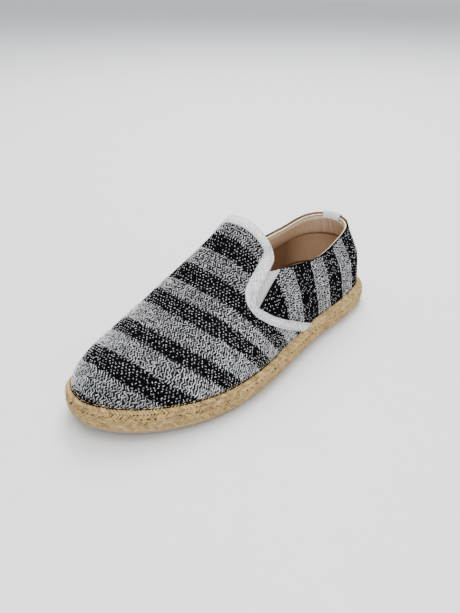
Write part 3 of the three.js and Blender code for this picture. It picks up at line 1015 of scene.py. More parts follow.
class Quarter:
    """Back of the upper: cloth round the heel, up to the collar."""

    COLUMNS, ROWS = 240, 56
    REACH = 6.6  # places that the cloth goes forward of the heel on each side
    WALL = 0.9
    CLEAR = 0.006  # angle left free of floats at the top
    SIDE, READ_AT = 3.0, 0.4  # place of the side that the bands are measured from, angle they are measured at

    def __init__(self) -> None:
        """Works out the top edge."""
        self.u = np.linspace(-self.REACH, self.REACH, self.COLUMNS + 1)
        self.top = top_angle(np.where(self.u < 0, self.u + LAST.round, self.u))
        self.table = np.linspace(0, LAST.toe, 500)
        self.run = arc_table(LAST.surface(self.table, np.full(len(self.table), self.READ_AT)))
        side = LAST.surface(np.array([self.SIDE]), np.array([self.READ_AT]))[0, 1]
        self.back = side + float(np.interp(self.SIDE, self.table, self.run))

    def flat(self, u: Array, angle: Array) -> Array:
        """Point that the bands are read at: the cloth unrolled from the side round the heel."""
        place = LAST.surface(u, angle)
        around = np.minimum(u % LAST.round, LAST.round - u % LAST.round)
        level = self.back - np.interp(around, self.table, self.run)
        return np.stack([np.zeros_like(level), level, place[..., 2]], -1)

    def shares(self, s: Array, t: Array) -> tuple[Array, Array]:
        """Place and angle at shares s round and t up."""
        u = -self.REACH + 2 * self.REACH * s
        top = np.interp(u, self.u, self.top)
        return u, top * t

    def place(self, s: Array, t: Array) -> Array:
        """Point of the cloth's outer face."""
        u, angle = self.shares(s, t)
        return self.face(u, angle)

    def face(self, u: Array, angle: Array) -> Array:
        """Point of the outer face at a place and angle; still at the collar, and dipping to the sole."""
        around = (u + self.REACH) % LAST.round - self.REACH
        top = np.interp(around, self.u, self.top)
        still = smooth((top - angle) / 0.12)
        return dipped(LAST.surface(u, angle, sag(u % LAST.round, angle) * still), angle)

    def holds(self, u: Array, angle: Array, side: int) -> Array:
        """Whether places lie on the cloth."""
        around = np.where(side > 0, u, u - LAST.round)
        top = np.interp(around, self.u, self.top)
        return (np.abs(around) < self.REACH) & (angle < top - self.CLEAR) & (angle > FOOT_CLEAR)

    def metric(self, s: Array, t: Array) -> Array:
        """Cloth coordinates: round the heel and up."""
        return self.flat(*self.shares(s, t))[:, 1:]

    def build(self) -> bpy.types.Object:
        """The quarter's cloth."""
        return sheet("quarter_cloth", (KNIT[Stripe.QUARTER], LINING_PAINTED_SHADE), (self.COLUMNS, self.ROWS),
                     self.place, self.metric, "upper", looks_out, self.WALL)


@dataclass(frozen=True)
class Float:
    """One kind of raised yarn float."""

    name: str
    light: bool
    pitch: float
    length: float
    width: float
    height: float
    slant: float  # degrees from the line across the rows
    shade: tuple[float, float]


FLOATS = (
    Float("light_floats", True, 1.70, 2.45, 0.58, 0.46, 34.0, (0.10, 1.0)),
    Float("dark_floats", False, 2.20, 1.15, 0.42, 0.40, 46.0, (0.08, 0.78)),
)


class Weave:
    """Raised floats of the knit, in rows that follow the bands, each row slanted against the next."""

    ROW = 1.85  # millimetres between rows
    UNEVEN_PITCH = 0.11  # spread of the places, as a share of the pitch
    UNEVEN_ROW = 0.24  # spread across the row, millimetres
    UNEVEN_SLANT = 16  # spread of the slant, degrees
    UNEVEN_SIZE = 0.72, 1.22
    RAISED = 0.08  # middle of a float over the cloth
    DULL, DULL_AT, DULL_WIDTH = 0.42, 12, 24  # the light floats are duller along the top of the foot

    def __init__(self, name: str, panel: Vamp | Quarter, stripe: Stripe, seed: int, thin: float = 0.0) -> None:
        """Works out where each row runs on the form.

        Args:
            name: first word of the pieces' names.
            panel: cloth that the floats lie on.
            stripe: the panel's bands.
            seed: seed of the unevenness.
            thin: share of the dark bands' floats that stays under the cloth.
        """
        self.name, self.panel, self.bands, self.thin = name, panel, BANDS[stripe], thin
        self.rng = np.random.default_rng(seed)
        self.levels = np.arange(self.bands.edges[0] - 14, self.bands.edges[-1] + 14, self.ROW)
        self.angles = HALF_TURN * np.linspace(0.0, 0.9995, 161) ** 1.15
        self.lowest = np.zeros((len(self.angles), 2))  # level and place of the bands' turn at the toe

    def level(self, u: Array, angle: Array) -> Array:
        """Level of the bands at places of the panel."""
        return self.bands.level(self.panel.flat(u, angle))

    def row_places(self, side: int) -> Array:
        """Place round the shoe of each row at each angle, on one side; not a number where it doesn't reach."""
        u = np.linspace(0.0, LAST.round, 2801)
        middle = len(u) // 2
        out = np.empty((len(self.levels), len(self.angles)))
        for j, angle in enumerate(self.angles):
            level = self.level(u, np.full(u.shape, angle))
            low = middle - 500 + int(np.argmin(level[middle - 500:middle + 500]))
            part = slice(low, None, -1) if side > 0 else slice(low, None)
            rising = np.maximum.accumulate(level[part] + np.arange(len(level[part])) * 1e-9)
            out[:, j] = np.interp(self.levels, rising, u[part], left=np.nan, right=np.nan)
            self.lowest[j] = level[low], u[low]
        return out

    def spots(self, kind: Float) -> tuple[Array, Array, Array]:
        """Place, angle and row number of every float of a kind."""
        found = []
        for side in (1, -1):
            rows = self.row_places(side)
            for k, places in enumerate(rows):
                good = np.isfinite(places) & self.panel.holds(places, self.angles, side)
                if good.sum() < 4:
                    continue
                u, angle = places[good][::-1], self.angles[good][::-1]
                if self.levels[k] < self.lowest[-1, 0]:
                    turn = float(np.interp(self.levels[k], self.lowest[:, 0], self.angles))
                    u = np.concatenate([[np.interp(turn, self.angles, self.lowest[:, 1])], u])
                    angle = np.concatenate([[turn], angle])
                run = arc_table(LAST.surface(u, angle))
                shift = (0.25 if side > 0 else 0.75) + (0.5 if k % 2 else 0.0)
                d = np.arange(shift % 1.0, run[-1] / kind.pitch) * kind.pitch
                d = d + self.rng.normal(0, self.UNEVEN_PITCH * kind.pitch, len(d))
                spots = np.stack([np.interp(d, run, u), np.interp(d, run, angle), np.full(len(d), k)], 1)
                found.append(spots[self.panel.holds(spots[:, 0], spots[:, 1], side)])
        u, angle, row = np.concatenate(found).T
        light = self.bands.lightness(self.panel.flat(u, angle)) > 0.5
        keep = (light == kind.light) & (light | (self.rng.random(len(u)) >= self.thin))
        return u[keep], angle[keep], row[keep]

    def lay(self, kind: Float) -> bpy.types.Object:
        """Lays every float of a kind."""
        u, angle, row = self.spots(kind)
        count = len(u)
        p = self.panel.face(u, angle)
        e = 4e-3
        du = LAST.surface(u + e, angle) - LAST.surface(u - e, angle)
        da = LAST.surface(u, angle + e) - LAST.surface(u, angle - e)
        normal = unit(np.cross(du, da))
        away = LAST.surface(u, angle, 1.0) - LAST.surface(u, angle, 0.0)
        normal *= np.sign((normal * away).sum(1))[:, None]
        # rise of the level over the surface
        climb = [self.level(u + a, angle + b) - self.level(u - a, angle - b) for a, b in ((e, 0.0), (0.0, e))]
        uu, aa, ua = (du * du).sum(1), (da * da).sum(1), (du * da).sum(1)
        whole = uu * aa - ua * ua + 1e-12
        rise = du * ((climb[0] * aa - climb[1] * ua) / whole)[:, None]
        rise = unit(rise + da * ((climb[1] * uu - climb[0] * ua) / whole)[:, None])
        p = p + rise * self.rng.normal(0, self.UNEVEN_ROW, count)[:, None]
        line = np.cross(rise, normal)
        slant = np.where(row % 2 == 0, kind.slant, -kind.slant) + self.rng.normal(0, self.UNEVEN_SLANT, count)
        slant = np.radians(slant)[:, None]
        x = rise * np.cos(slant) + line * np.sin(slant)
        axes = np.stack([x, np.cross(normal, x), normal], 1)
        uneven = self.rng.uniform(*self.UNEVEN_SIZE, (count, 2))
        sizes = np.stack([kind.length * uneven[:, 0], kind.width * uneven[:, 1], np.full(count, kind.height)], 1)
        dull = self.DULL * np.exp(-(((p[:, 0] - self.DULL_AT) / self.DULL_WIDTH) ** 2)) if kind.light else 0.0
        shades = self.rng.uniform(*kind.shade, count) * (1 - dull)
        return scatter(f"{self.name}_{kind.name}", "knit", YARN, grain_shape(5, 4), p + normal * self.RAISED, axes,
                       sizes, shades)

    def build(self) -> list[bpy.types.Object]:
        """Every kind of float."""
        return [self.lay(kind) for kind in FLOATS]


class FootSeamShadow:
    """Dark line where the cloth goes down into the sole: partly a dark seam, partly painted shadow."""

    RADIUS = 0.45
    OUT, UP = 0.35, 0.25  # its middle, out of the cloth's foot and over the sole
    VAMP_FROM = 5.6  # place where the line starts to step out with the vamp

    def place(self, s: Array, t: Array) -> Array:
        """Point of the thin cord: s round the shoe, t round its section."""
        u = s * LAST.round
        ahead = smooth((np.minimum(u, LAST.round - u) - self.VAMP_FROM) / 0.6)
        around = 2 * np.pi * t
        plan = LAST.rim(u, self.OUT + ahead * VAMP_STEP - LAST.ledge + self.RADIUS * np.cos(around))
        return on_sole(plan, self.UP + self.RADIUS * np.sin(around))

    def build(self) -> bpy.types.Object:
        """The cord."""
        return sheet("foot_seam_shadow", (SHADOW,), (420, 8), self.place, even(600, 3), looks=looks_out)


class Lining:
    """Tan lining: round the heel with a gathered collar band, and under the vamp."""

    BAND = 19.0  # depth of the collar band
    FACE = -2.1  # its inner face, out of the upper's outer face
    WALL = 0.7
    PAD, PLEAT, SEAM, SLACK = 1.7, 0.75, 0.55, 0.25  # padding, gathers, groove of the seam, slackness below it
    PLEAT_PITCH = 4.6
    GATHERED_TO = 3.4  # place on each side where the gathers have faded out
    FOOT, BELOW_TOP = 0.03, 0.016  # angles where it starts and ends
    GRID, FRONT_GRID = (300, 64), (120, 48)
    STITCHED_TO, STITCHES = 4.6, 210

    def __init__(self, quarter: Quarter, vamp: Vamp) -> None:
        """Keeps the cloths that are lined."""
        self.quarter, self.vamp = quarter, vamp
        p = LAST.surface(quarter.u, quarter.top, -2.0)
        self.run = arc_table(p)

    def inside(self, s: Array, t: Array) -> Array:
        """Lining round the heel, its inner face."""
        u = -self.quarter.REACH + 2 * self.quarter.REACH * s
        top = np.interp(u, self.quarter.u, self.quarter.top)
        angle = self.FOOT + (top - self.BELOW_TOP - self.FOOT) * t
        edge = LAST.surface(u, top)
        p = LAST.surface(u, angle)
        drop = np.linalg.norm(edge - p, axis=-1)
        run = np.interp(u, self.quarter.u, self.run)
        pad = self.PAD * smooth(drop / 3.0) * smooth((self.BAND - drop) / 3.5)
        back = smooth((self.GATHERED_TO - np.abs(u)) / 1.4)
        pleat = (0.5 + 0.5 * np.sin(run * 2 * np.pi / self.PLEAT_PITCH + 1.3 * np.sin(run * 0.21))) ** 2
        gather = self.PLEAT * back * pleat * smooth(drop / 2.5) * smooth((self.BAND + 1 - drop) / 6)
        seam = self.SEAM * np.exp(-(((drop - self.BAND) / 0.8) ** 2))
        slack = self.SLACK * np.sin(run * 0.19 + drop * 0.11) * smooth((drop - self.BAND) / 6)
        return LAST.surface(u, angle, self.FACE - pad - gather + seam + slack)

    def metric(self, s: Array, t: Array) -> Array:
        """Cloth coordinates."""
        return np.stack([s * float(self.run[-1]), t * 55.0], 1)

    def front(self, s: Array, t: Array) -> Array:
        """Lining under the vamp, its inner face."""
        u, angle = self.vamp.shares(0.015 + 0.97 * s, t)
        return LAST.surface(u, angle, self.FACE)

    def build(self) -> list[bpy.types.Object]:
        """The two lining pieces, and the seam under the collar band."""
        parts = (("quarter_lining", LINING, self.GRID, self.inside),
                 ("vamp_lining", LINING_PAINTED_SHADE, self.FRONT_GRID, self.front))
        out = [sheet(name, (finish,), grid, place, self.metric, looks=looks_in, wall=self.WALL)
               for name, finish, grid, place in parts]
        return out + [self.stitching()]

    def stitching(self) -> bpy.types.Object:
        """Row of dark stitches along the seam of the collar band."""
        u = np.linspace(-self.STITCHED_TO, self.STITCHED_TO, self.STITCHES)
        angle = top_angle(u % LAST.round, self.BAND * 0.97)
        p = LAST.surface(u % LAST.round, angle, -2.35)
        along = unit(np.gradient(p, axis=0))
        inward = -upright(LAST.outwards(u % LAST.round))
        up = np.cross(inward, along)
        axes = np.stack([along, up, np.cross(along, up)], 1)
        sizes = np.tile([1.9, 0.5, 0.5], (len(u), 1))
        thread = Finish("lining_thread", (0.16, 0.09, 0.05), (0.30, 0.18, 0.10), 0.8)
        return scatter("lining_seam", "lining", thread, grain_shape(6, 4), p, axes, sizes, np.full(len(u), 0.5))


class Binding:
    """White tape folded over the free edge of the vamp, from one side's sole over the throat to the other's."""

    ROWS = 260
    WALL = 0.35
    STITCH_PITCH, STITCH = 2.3, (1.5, 0.34, 0.30)
    STITCH_ROWS = (("binding_stitches", 0.80), ("binding_edge_stitches", 0.16))  # share of the width from the edge
    FOLDED_FROM = 0.62  # angle above which the tape is folded round the edge; under it, it ends over the elastic
    OVER_ELASTIC, INNERMOST = 0.25, -2.6  # least offsets there and above
    PUCKER = 0.07
    FLECKS = 1500
    FACE = 2.27  # where the flecks lie, out of the upper's outer face
    # share of the width from the free edge, offset from the form in millimetres
    PROFILE = ((0.24, -2.3), (0.10, -2.4), (0.02, -1.9), (-0.01, -0.8), (-0.01, 0.6), (0.02, 1.6), (0.10, 2.15),
               (0.32, 2.3), (0.62, 2.3), (0.88, 2.25), (0.97, 2.05), (1.00, 1.6), (0.98, 1.1))

    def __init__(self) -> None:
        """Lays out rows of even length down each side."""
        angles = HALF_TURN * np.concatenate([np.linspace(0.004, 0.97, 420), np.linspace(0.971, 1.0, 40)])
        self.tables = {}
        for side in (1, -1):
            edge = free_place(angles, FREE_EDGE.eased(), side)
            inner = free_place(angles, FREE_EDGE.moved(TAPE_WIDTH), side)
            p = LAST.surface((edge + inner) / 2, angles, VAMP_STEP)
            run = arc_table(p[::-1])[::-1]
            self.tables[side] = (run, angles, edge, inner)

    def where(self, t: Array, share: Array) -> tuple[Array, Array, Array]:
        """Place, angle and run at t from -1 (inner sole) over 0 (crest) to 1 (outer sole)."""
        out = [np.zeros(len(t)) for _ in range(3)]
        for side in (1, -1):
            run, angles, edge, inner = self.tables[side]
            mine = (t >= 0) if side > 0 else (t < 0)
            d = np.abs(t[mine]) * run[0]
            order = slice(None, None, -1)
            angle = np.interp(d, run[order], angles[order])
            e, i = np.interp(d, run[order], edge[order]), np.interp(d, run[order], inner[order])
            out[0][mine] = e + (i - e) * share[mine]
            out[1][mine] = angle
            out[2][mine] = d * side
        return out[0], out[1], out[2]

    def place(self, s: Array, t: Array) -> Array:
        """Point of the tape: s over its profile, t along it."""
        profile = np.array(self.PROFILE)
        k = s * (len(profile) - 1)
        share = np.interp(k, np.arange(len(profile)), profile[:, 0])
        offset = np.interp(k, np.arange(len(profile)), profile[:, 1])
        u, angle, run = self.where(2 * t - 1, share)
        low = smooth((self.FOLDED_FROM - angle) / 0.10)
        offset = np.maximum(offset, self.OVER_ELASTIC * low + self.INNERMOST * (1 - low))
        pucker = self.PUCKER * np.sin(run * 2.1) * (offset > 2.0)
        return LAST.surface(u, angle, offset + pucker)

    def build(self) -> list[bpy.types.Object]:
        """The folded tape and its stitches."""
        columns = 3 * (len(self.PROFILE) - 1)
        tape = sheet("binding_tape", (TAPE_CLOTH,), (columns, self.ROWS), self.place, even(14.0, 300.0),
                     "vamp_binding", looks_out, self.WALL)
        return [tape, *(self.stitching(name, share) for name, share in self.STITCH_ROWS), self.flecks()]

    def flecks(self) -> bpy.types.Object:
        """Grey flecks of the tape's weave, thinning out over the throat."""
        rng = np.random.default_rng(21)
        t, share = rng.uniform(0.01, 0.99, self.FLECKS), rng.uniform(0.06, 0.92, self.FLECKS)
        u, angle, run = self.where(2 * t - 1, share)
        keep = np.abs(run) > rng.uniform(12, 40, self.FLECKS)
        u, angle, share = u[keep], angle[keep], share[keep]
        p = LAST.surface(u, angle, self.FACE)
        n = unit(LAST.surface(u, angle, self.FACE + 1) - p)
        along = LAST.surface(u, angle + 0.01, self.FACE) - p
        along = unit(along - n * (along * n).sum(1, keepdims=True))
        slant = rng.normal(0, 0.5, len(u))[:, None]
        x = along * np.cos(slant) + np.cross(n, along) * np.sin(slant)
        sizes = np.stack([rng.uniform(0.6, 1.5, len(u)), rng.uniform(0.28, 0.5, len(u)), np.full(len(u), 0.3)], 1)
        fleck = YarnFinish("fleck", (0.13, 0.13, 0.14), (0.62, 0.62, 0.63), 0.7, 4200, 0.3, 0.1)
        return scatter("binding_flecks", "tape", fleck, grain_shape(5, 4), p, np.stack([x, np.cross(n, x), n], 1),
                       sizes, rng.uniform(0, 1, len(u)))

    def stitching(self, name: str, share: float) -> bpy.types.Object:
        """Fine row of stitches along the tape."""
        total = self.tables[1][0][0] + self.tables[-1][0][0]
        count = int(total / self.STITCH_PITCH)
        t = np.linspace(0.01, 0.99, count)
        u, angle, _ = self.where(2 * t - 1, np.full(count, share))
        p = LAST.surface(u, angle, self.FACE + 0.07)
        normals = unit(LAST.surface(u, angle, self.FACE + 1.07) - p)
        thread = Finish(name, (0.22, 0.22, 0.23), (0.42, 0.42, 0.43), 0.6)
        return stitch_row(name, "tape", thread, p, normals, self.STITCH)


class Gore:
    """Ribbed elastic let in between the vamp's free edge and the quarter."""

    LOW, FRONT_TOP, REAR_TOP = 43.5, 73.0, 60.2  # heights of its foot and its two upper corners
    BEHIND_EDGE = 1.5  # how far it starts behind the free edge, under the tape
    UNDER = 0.20  # places that it goes on under the quarter
    FACE = -1.0  # its outer face, out of the upper's
    WALL = 0.8
    RIBS, RIB_HEIGHT = 9, 0.14

    def __init__(self, side: int) -> None:
        """Works out the two lines that the elastic runs between."""
        self.side = side
        self.angles = np.linspace(0.35, 1.25, 260)
        self.front = free_place(self.angles, FREE_EDGE.moved(self.BEHIND_EDGE), side)
        line = QUARTER_TOP.eased()
        line = line[line[:, 0] <= COLLAR_CORNER][::-1]
        self.rear = free_place(self.angles, np.vstack([COLLAR_FRONT[:1], line]), side)
        z = LAST.surface(self.front, self.angles)[:, 2]
        back_z = LAST.surface(self.rear, self.angles)[:, 2]
        self.low = float(np.interp(self.LOW, z, self.angles))
        self.tops = [float(np.interp(top, line_z, self.angles))
                     for top, line_z in ((self.FRONT_TOP, z), (self.REAR_TOP, back_z))]

    def place(self, s: Array, t: Array) -> Array:
        """Point of the elastic's outer face."""
        top = self.tops[0] + (self.tops[1] - self.tops[0]) * s
        angle = self.low + (top - self.low) * t
        front, rear = (np.interp(angle, self.angles, x) for x in (self.front, self.rear))
        reach = rear - self.side * self.UNDER * smooth((0.98 - t) / 0.3)
        u = front + (reach - front) * s
        rib = self.RIB_HEIGHT * np.abs(np.sin(s * np.pi * self.RIBS))
        return LAST.surface(u, angle, self.FACE + rib)

    def build(self) -> bpy.types.Object:
        """The elastic."""
        word = "outer" if self.side > 0 else "inner"
        return sheet(f"elastic_{word}", (ELASTIC_CLOTH,), (48, 60), self.place, even(9.0, 26.0),
                     f"gore_{word}", looks_out, self.WALL)


class Collar:
    """Rolled cream edge round the collar, and the white tape that covers the back seam."""

    RADIUS, WIDER = 0.62, 1.2  # height of the rolled edge, and its width as a multiple of that
    FACE, DOWN = -1.95, 0.75  # middle of the rolled edge, out of the upper's outer face and under its top
    TAPE_FROM, TAPE_ACROSS = -0.58, 1.22  # places
    TAPE_LENGTH = 48.0
    TAPE_WALL = 0.45
    # how far below the top the back tape is, and its offset from the form; up the outside and down the inside
    TAPE_STEPS = ((48.0, 0.85), (30.0, 0.85), (12.0, 0.85), (2.5, 0.85), (0.0, 0.85), (-1.2, 0.2), (-1.5, -1.3),
                  (-0.9, -2.8), (-0.1, -3.6), (0.7, -4.2), (1.6, -4.6))

    def __init__(self) -> None:
        """Finds where the collar starts on each side."""
        start = float(free_place(np.array([1.0]), COLLAR_FRONT, 1)[0])
        self.u = np.linspace(-start, start, 241)
        self.top = top_angle(self.u % LAST.round)

    def edge(self, u: Array) -> Array:
        """Middle of the rolled edge."""
        top = np.interp(u, self.u, self.top)
        return LAST.surface(u % LAST.round, top, self.FACE) - np.array([0, 0, self.DOWN])

    def piping(self, s: Array, t: Array) -> Array:
        """Point of the rolled edge."""
        u = self.u[0] + (self.u[-1] - self.u[0]) * s
        out = LAST.outwards(u % LAST.round)
        around = 2 * np.pi * t
        wide = self.RADIUS * self.WIDER
        shift = np.concatenate([out * (np.cos(around) * wide)[:, None], (np.sin(around) * self.RADIUS)[:, None]], 1)
        ends = np.sqrt((1 - np.abs(2 * s - 1) ** 24).clip(0, 1))
        return self.edge(u) + shift * np.maximum(ends, 0.02)[:, None]

    def tape(self, s: Array, t: Array) -> Array:
        """Point of the back tape: s across, t up the outside, over the edge and down the inside."""
        u = self.TAPE_FROM + self.TAPE_ACROSS * s
        steps = np.array(self.TAPE_STEPS)
        k = t * (len(steps) - 1)
        drop = np.interp(k, np.arange(len(steps)), steps[:, 0])
        offset = np.interp(k, np.arange(len(steps)), steps[:, 1])
        top = np.interp(u, self.u, self.top)
        p = LAST.surface(u % LAST.round, top - drop.clip(0, None) / self.TAPE_LENGTH * top * 0.985, offset)
        p[:, 2] += (-drop).clip(0, None)
        return p

    def build(self) -> list[bpy.types.Object]:
        """The rolled edge and the back tape."""
        piping = sheet("collar_piping", (PIPING,), (420, 16), self.piping, even(260, 8))
        tape = sheet("back_tape", (TAPE_CLOTH,), (24, 80), self.tape, even(15, 70), "heel_tape", looks_out,
                     self.TAPE_WALL)
        return [piping, tape]


class Footbed:
    """Smooth tan insole, slightly dished."""

    TOP = 3.1  # over the jute
    RIM = -7.4  # out of the shoe's outline
    WALL = 2.3
    DISH, ROUNDING = 0.7, 0.5

    def place(self, s: Array, t: Array) -> Array:
        """Point of the insole's top: s round, t from the rim to the middle line."""
        u = s * LAST.round
        plan = LAST.gathered(u, np.full(u.shape, self.RIM), t)
        dish = self.DISH * smooth(t / 0.5) + self.ROUNDING * smooth((0.04 - t) / 0.04)
        return on_sole(plan, self.TOP - dish)

    def build(self) -> bpy.types.Object:
        """The insole."""
        # the lining finish paints shade on the insole ahead of the heel
        return sheet("footbed", (LINING,), (220, 30), self.place, even(500, 40), "insole", looks_up,
                     self.WALL)


class JuteSole:
    """Plaited jute: a dark core of painted shade and rows of slanted strands, with stitches through the side."""

    # how far the side lies inside the outline, share of its height
    SIDE = ((4.2, 0.0), (1.9, 0.05), (1.0, 0.20), (0.7, 0.45), (0.7, 0.70), (1.5, 0.90), (3.6, 1.0))
    LOW = 2.7  # height of the jute's underside
    CORE, CORE_CLEAR = -1.15, 4.0  # the core's side, out of the jute's, and the rounding of its two edges
    ROWS = 6
    PITCH = 1.85
    STRANDS = -0.35  # middle of the strands, out of the jute's side
    STRAND_SIZES = (3.1, 4.3), (1.0, 1.5), (1.2, 2.2)  # least and most length, width and height
    SLANT, UNEVEN_SLANT = 38, 5  # degrees
    PRICKS, PRICK_HEIGHT = 150, 0.66
    FIBRES, FIBRE_WIDTH = 3200, 0.16
    FIBRE_LENGTHS = 1.5, 4.0

    def side(self, u: Array, share: Array, out: Array | float = 0.0) -> Array:
        """Point of the sole's side at a share of its height, moved outwards."""
        table = np.array(self.SIDE)
        inset = np.interp(share, table[:, 1], table[:, 0])
        plan = LAST.rim(u, out - inset)
        along = LAST.along(plan[..., 1])
        low = self.LOW + LAST.spring(along) + LAST.waist(along)
        high = LAST.sole + LAST.spring(along)
        return np.concatenate([plan, (low + (high - low) * share)[..., None]], -1)

    def along(self, u: Array, share: Array) -> Array:
        """Unit vector that runs round the side."""
        return unit(self.side(u + 0.01, share) - self.side(u - 0.01, share))

    def core(self, s: Array, t: Array) -> Array:
        """Point of the core: s round, t from the middle of the underside round the side to the top's middle."""
        u = s * LAST.round
        k = t * 3
        share = (k - 1).clip(0, 1)
        p = self.side(u, share, np.full(u.shape, self.CORE))
        draw = np.where(k < 1, 1 - k, np.where(k > 2, k - 2, 0.0)) * 0.999
        flat = LAST.gathered(u, np.full(u.shape, self.CORE - self.CORE_CLEAR), draw)
        along = LAST.along(flat[:, 1])
        z = LAST.spring(along) + np.where(k < 1, self.LOW + 0.2 + LAST.waist(along), LAST.sole - 0.5)
        inner = np.concatenate([flat, z[:, None]], 1)
        return np.where(((k < 1) | (k > 2))[:, None], inner, p)

    def strands(self) -> bpy.types.Object:
        """Rows of strands, each row slanted against the next."""
        rng = np.random.default_rng(11)
        table = np.linspace(0, LAST.round, 1600)
        points, axes, sizes, shades = [], [], [], []
        for row in range(self.ROWS + 1):
            share = min(1.0, (row + 0.5) / self.ROWS)
            line = self.side(table, np.full(table.shape, share))
            run = arc_table(line)
            count = int(run[-1] / self.PITCH)
            d = (np.arange(count) + 0.5 * (row % 2)) * run[-1] / count + rng.normal(0, 0.15, count)
            u = np.interp(d, run, table)
            p = self.side(u, np.full(count, share), np.full(count, self.STRANDS))
            along = self.along(u, np.full(count, share))
            above, below = (self.side(u, np.full(count, x)) for x in (min(1.0, share + 0.06), max(0.0, share - 0.06)))
            up = above - below
            up = unit(up - along * (up * along).sum(1, keepdims=True))
            slant = (self.SLANT if row % 2 else -self.SLANT) + rng.normal(0, self.UNEVEN_SLANT, count)
            slant = np.radians(slant)[:, None]
            x = along * np.cos(slant) + up * np.sin(slant)
            z = np.cross(along, up)
            facing = z[:, 2] if row == self.ROWS else (z[:, :2] * LAST.outwards(u)).sum(1)
            z *= np.sign(facing)[:, None]
            points.append(p)
            axes.append(np.stack([x, np.cross(z, x), z], 1))
            sizes.append(np.stack([rng.uniform(*span, count) for span in self.STRAND_SIZES], 1))
            shades.append(rng.beta(1.6, 1.1, count))
        return scatter("jute_strands", "jute", STRAW, grain_shape(8, 6),
                       *(np.concatenate(x) for x in (points, axes, sizes, shades)))

    def pricks(self) -> bpy.types.Object:
        """Holes where the stitching goes through the side: dark grains of painted shade."""
        rng = np.random.default_rng(13)
        count = self.PRICKS
        u = (np.arange(count) + rng.uniform(-0.25, 0.25, count)) / count * LAST.round
        share = self.PRICK_HEIGHT + rng.normal(0, 0.035, count)
        p = self.side(u, share, np.full(count, 0.25))
        along = self.along(u, share)
        out = upright(LAST.outwards(u))
        up = np.cross(out, along)
        slant = rng.uniform(-0.5, 0.5, count)[:, None]
        x = along * np.cos(slant) + up * np.sin(slant)
        sizes = np.stack([rng.uniform(1.0, 2.2, count), rng.uniform(0.5, 0.9, count), np.full(count, 0.9)], 1)
        return scatter("jute_pricks", "jute", STRAW_PAINTED_SHADE, grain_shape(6, 4), p,
                       np.stack([x, np.cross(out, x), out], 1), sizes, np.full(count, 0.2))

    def fibres(self) -> bpy.types.Object:
        """Loose fine fibres that stand out of the strands."""
        rng = np.random.default_rng(12)
        count = self.FIBRES
        u = rng.uniform(0, LAST.round, count)
        share = rng.uniform(0.03, 0.97, count)
        p = self.side(u, share, np.full(count, 0.55))
        x = unit(rng.normal(0, 1, (count, 3)))
        out = upright(LAST.outwards(u))
        x = unit(x - out * (x * out).sum(1, keepdims=True) * 0.8)
        z = unit(np.cross(x, out))
        sizes = np.stack([rng.uniform(*self.FIBRE_LENGTHS, count), *np.full((2, count), self.FIBRE_WIDTH)], 1)
        return scatter("jute_fibres", "jute", STRAW, grain_shape(4, 4), p, np.stack([x, np.cross(z, x), z], 1), sizes,
                       rng.uniform(0.5, 1.0, count))

    def build(self) -> list[bpy.types.Object]:
        """The core, the strands and the loose fibres."""
        core = sheet("jute_core", (STRAW_PAINTED_SHADE,), (260, 30), self.core, even(600, 40), "jute_sole")
        return [core, self.strands(), self.fibres(), self.pricks()]


# Studio


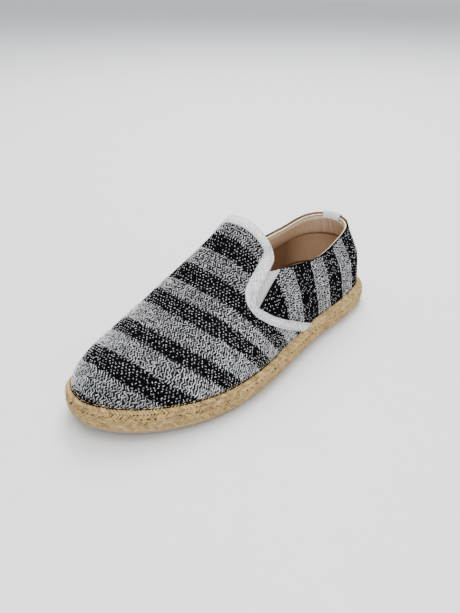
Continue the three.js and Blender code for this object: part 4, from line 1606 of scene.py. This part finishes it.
@dataclass(frozen=True)
class Studio:
    """Pale floor, soft lights and the camera of the photograph's view."""

    azimuth: float = 36.4
    elevation: float = 26.25
    focus_px: float = 730.4
    centre_px: tuple[float, float] = (236.65, 291.4)
    aim: tuple[float, float, float] = (0.0, 0.0, 40.0)
    away: float = 468.36
    size: tuple[int, int] = (460, 613)
    sensor: float = 36.0
    # name, place, size and power of each light; all of them look at the shoe
    lamps: tuple[tuple[str, tuple[float, float, float], float, float], ...] = (
        ("key", (-0.5, 0.9, 1.3), 0.9, 34.0),
        ("fill", (1.1, -0.8, 0.9), 1.2, 14.0),
        ("top", (0.0, -0.2, 1.6), 1.2, 20.0),
    )
    lit: tuple[float, float, float] = (0.0, 0.0, 0.03)
    sky: tuple[float, float, float] = (0.90, 0.93, 0.97)
    sky_power: float = 0.75

    def camera(self) -> bpy.types.Object:
        """Camera at the photograph's angle to the shoe."""
        yaw, pitch = math.radians(self.azimuth), math.radians(self.elevation)
        forward = Vector((-math.sin(yaw) * math.cos(pitch), math.cos(yaw) * math.cos(pitch), -math.sin(pitch)))
        right = Vector((math.cos(yaw), math.sin(yaw), 0))
        down = forward.cross(right)
        shift = [(self.centre_px[k] - self.size[k] / 2) / self.focus_px * self.away for k in (0, 1)]
        eye = Vector(self.aim) - (right * shift[0] + down * shift[1] + forward * self.away)
        data = bpy.data.cameras.new("camera")
        data.lens = self.focus_px * self.sensor / self.size[1]
        data.sensor_width = self.sensor
        data.clip_start, data.clip_end = 0.01, 20.0
        camera = bpy.data.objects.new("camera", data)
        bpy.context.scene.collection.objects.link(camera)
        turn = Matrix((right, -down, -forward)).transposed().to_4x4()
        camera.matrix_world = Matrix.Translation(eye * MM) @ turn
        bpy.context.scene.camera = camera
        return camera

    def lamp(self, name: str, place: tuple[float, float, float], size: float, power: float) -> bpy.types.Object:
        """One soft area light."""
        data = bpy.data.lights.new(name, "AREA")
        data.size, data.energy = size, power
        lamp = bpy.data.objects.new(name, data)
        bpy.context.scene.collection.objects.link(lamp)
        aim = Vector(self.lit) - Vector(place)
        lamp.matrix_world = Matrix.Translation(place) @ aim.to_track_quat("-Z", "Y").to_matrix().to_4x4()
        return lamp

    def floor(self) -> bpy.types.Object:
        """Pale flat floor."""
        bm = bmesh.new()
        bmesh.ops.create_grid(bm, x_segments=1, y_segments=1, size=3.0)
        mesh = bpy.data.meshes.new("floor")
        bm.to_mesh(mesh)
        bm.free()
        mesh.materials.append(Finish("floor", (0.86, 0.865, 0.875), (0.90, 0.905, 0.915), 0.5, 40.0, 0.02).build())
        obj = bpy.data.objects.new("floor", mesh)
        bpy.context.scene.collection.objects.link(obj)
        return obj

    def build(self) -> None:
        """Floor, lights, world and camera."""
        self.floor()
        for lamp in self.lamps:
            self.lamp(*lamp)
        world = bpy.data.worlds.new("world")
        world.use_nodes = True
        back = world.node_tree.nodes["Background"]
        back.inputs[0].default_value = (*self.sky, 1)
        back.inputs[1].default_value = self.sky_power
        bpy.context.scene.world = world
        self.camera()


def refinish(node: str, finish: Finish) -> None:
    """Gives a solid that stays its finish, on every slot."""
    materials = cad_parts[node].data.materials
    materials.clear()
    materials.append(finish.build())


def main() -> None:
    """Builds the shoe piece by piece, then the studio."""
    fibre_group()
    soil_group()
    vamp, quarter = Vamp(), Quarter()
    vamp.build()
    quarter.build()
    Weave("vamp", vamp, Stripe.VAMP, 3, 0.12).build()
    Weave("quarter", quarter, Stripe.QUARTER, 4, 0.42).build()
    FootSeamShadow().build()
    Lining(quarter, vamp).build()
    Binding().build()
    for side in (1, -1):
        Gore(side).build()
    Collar().build()
    Footbed().build()
    JuteSole().build()
    refinish("outsole", GUM)
    Studio().build()


if __name__ == "__main__":
    main()
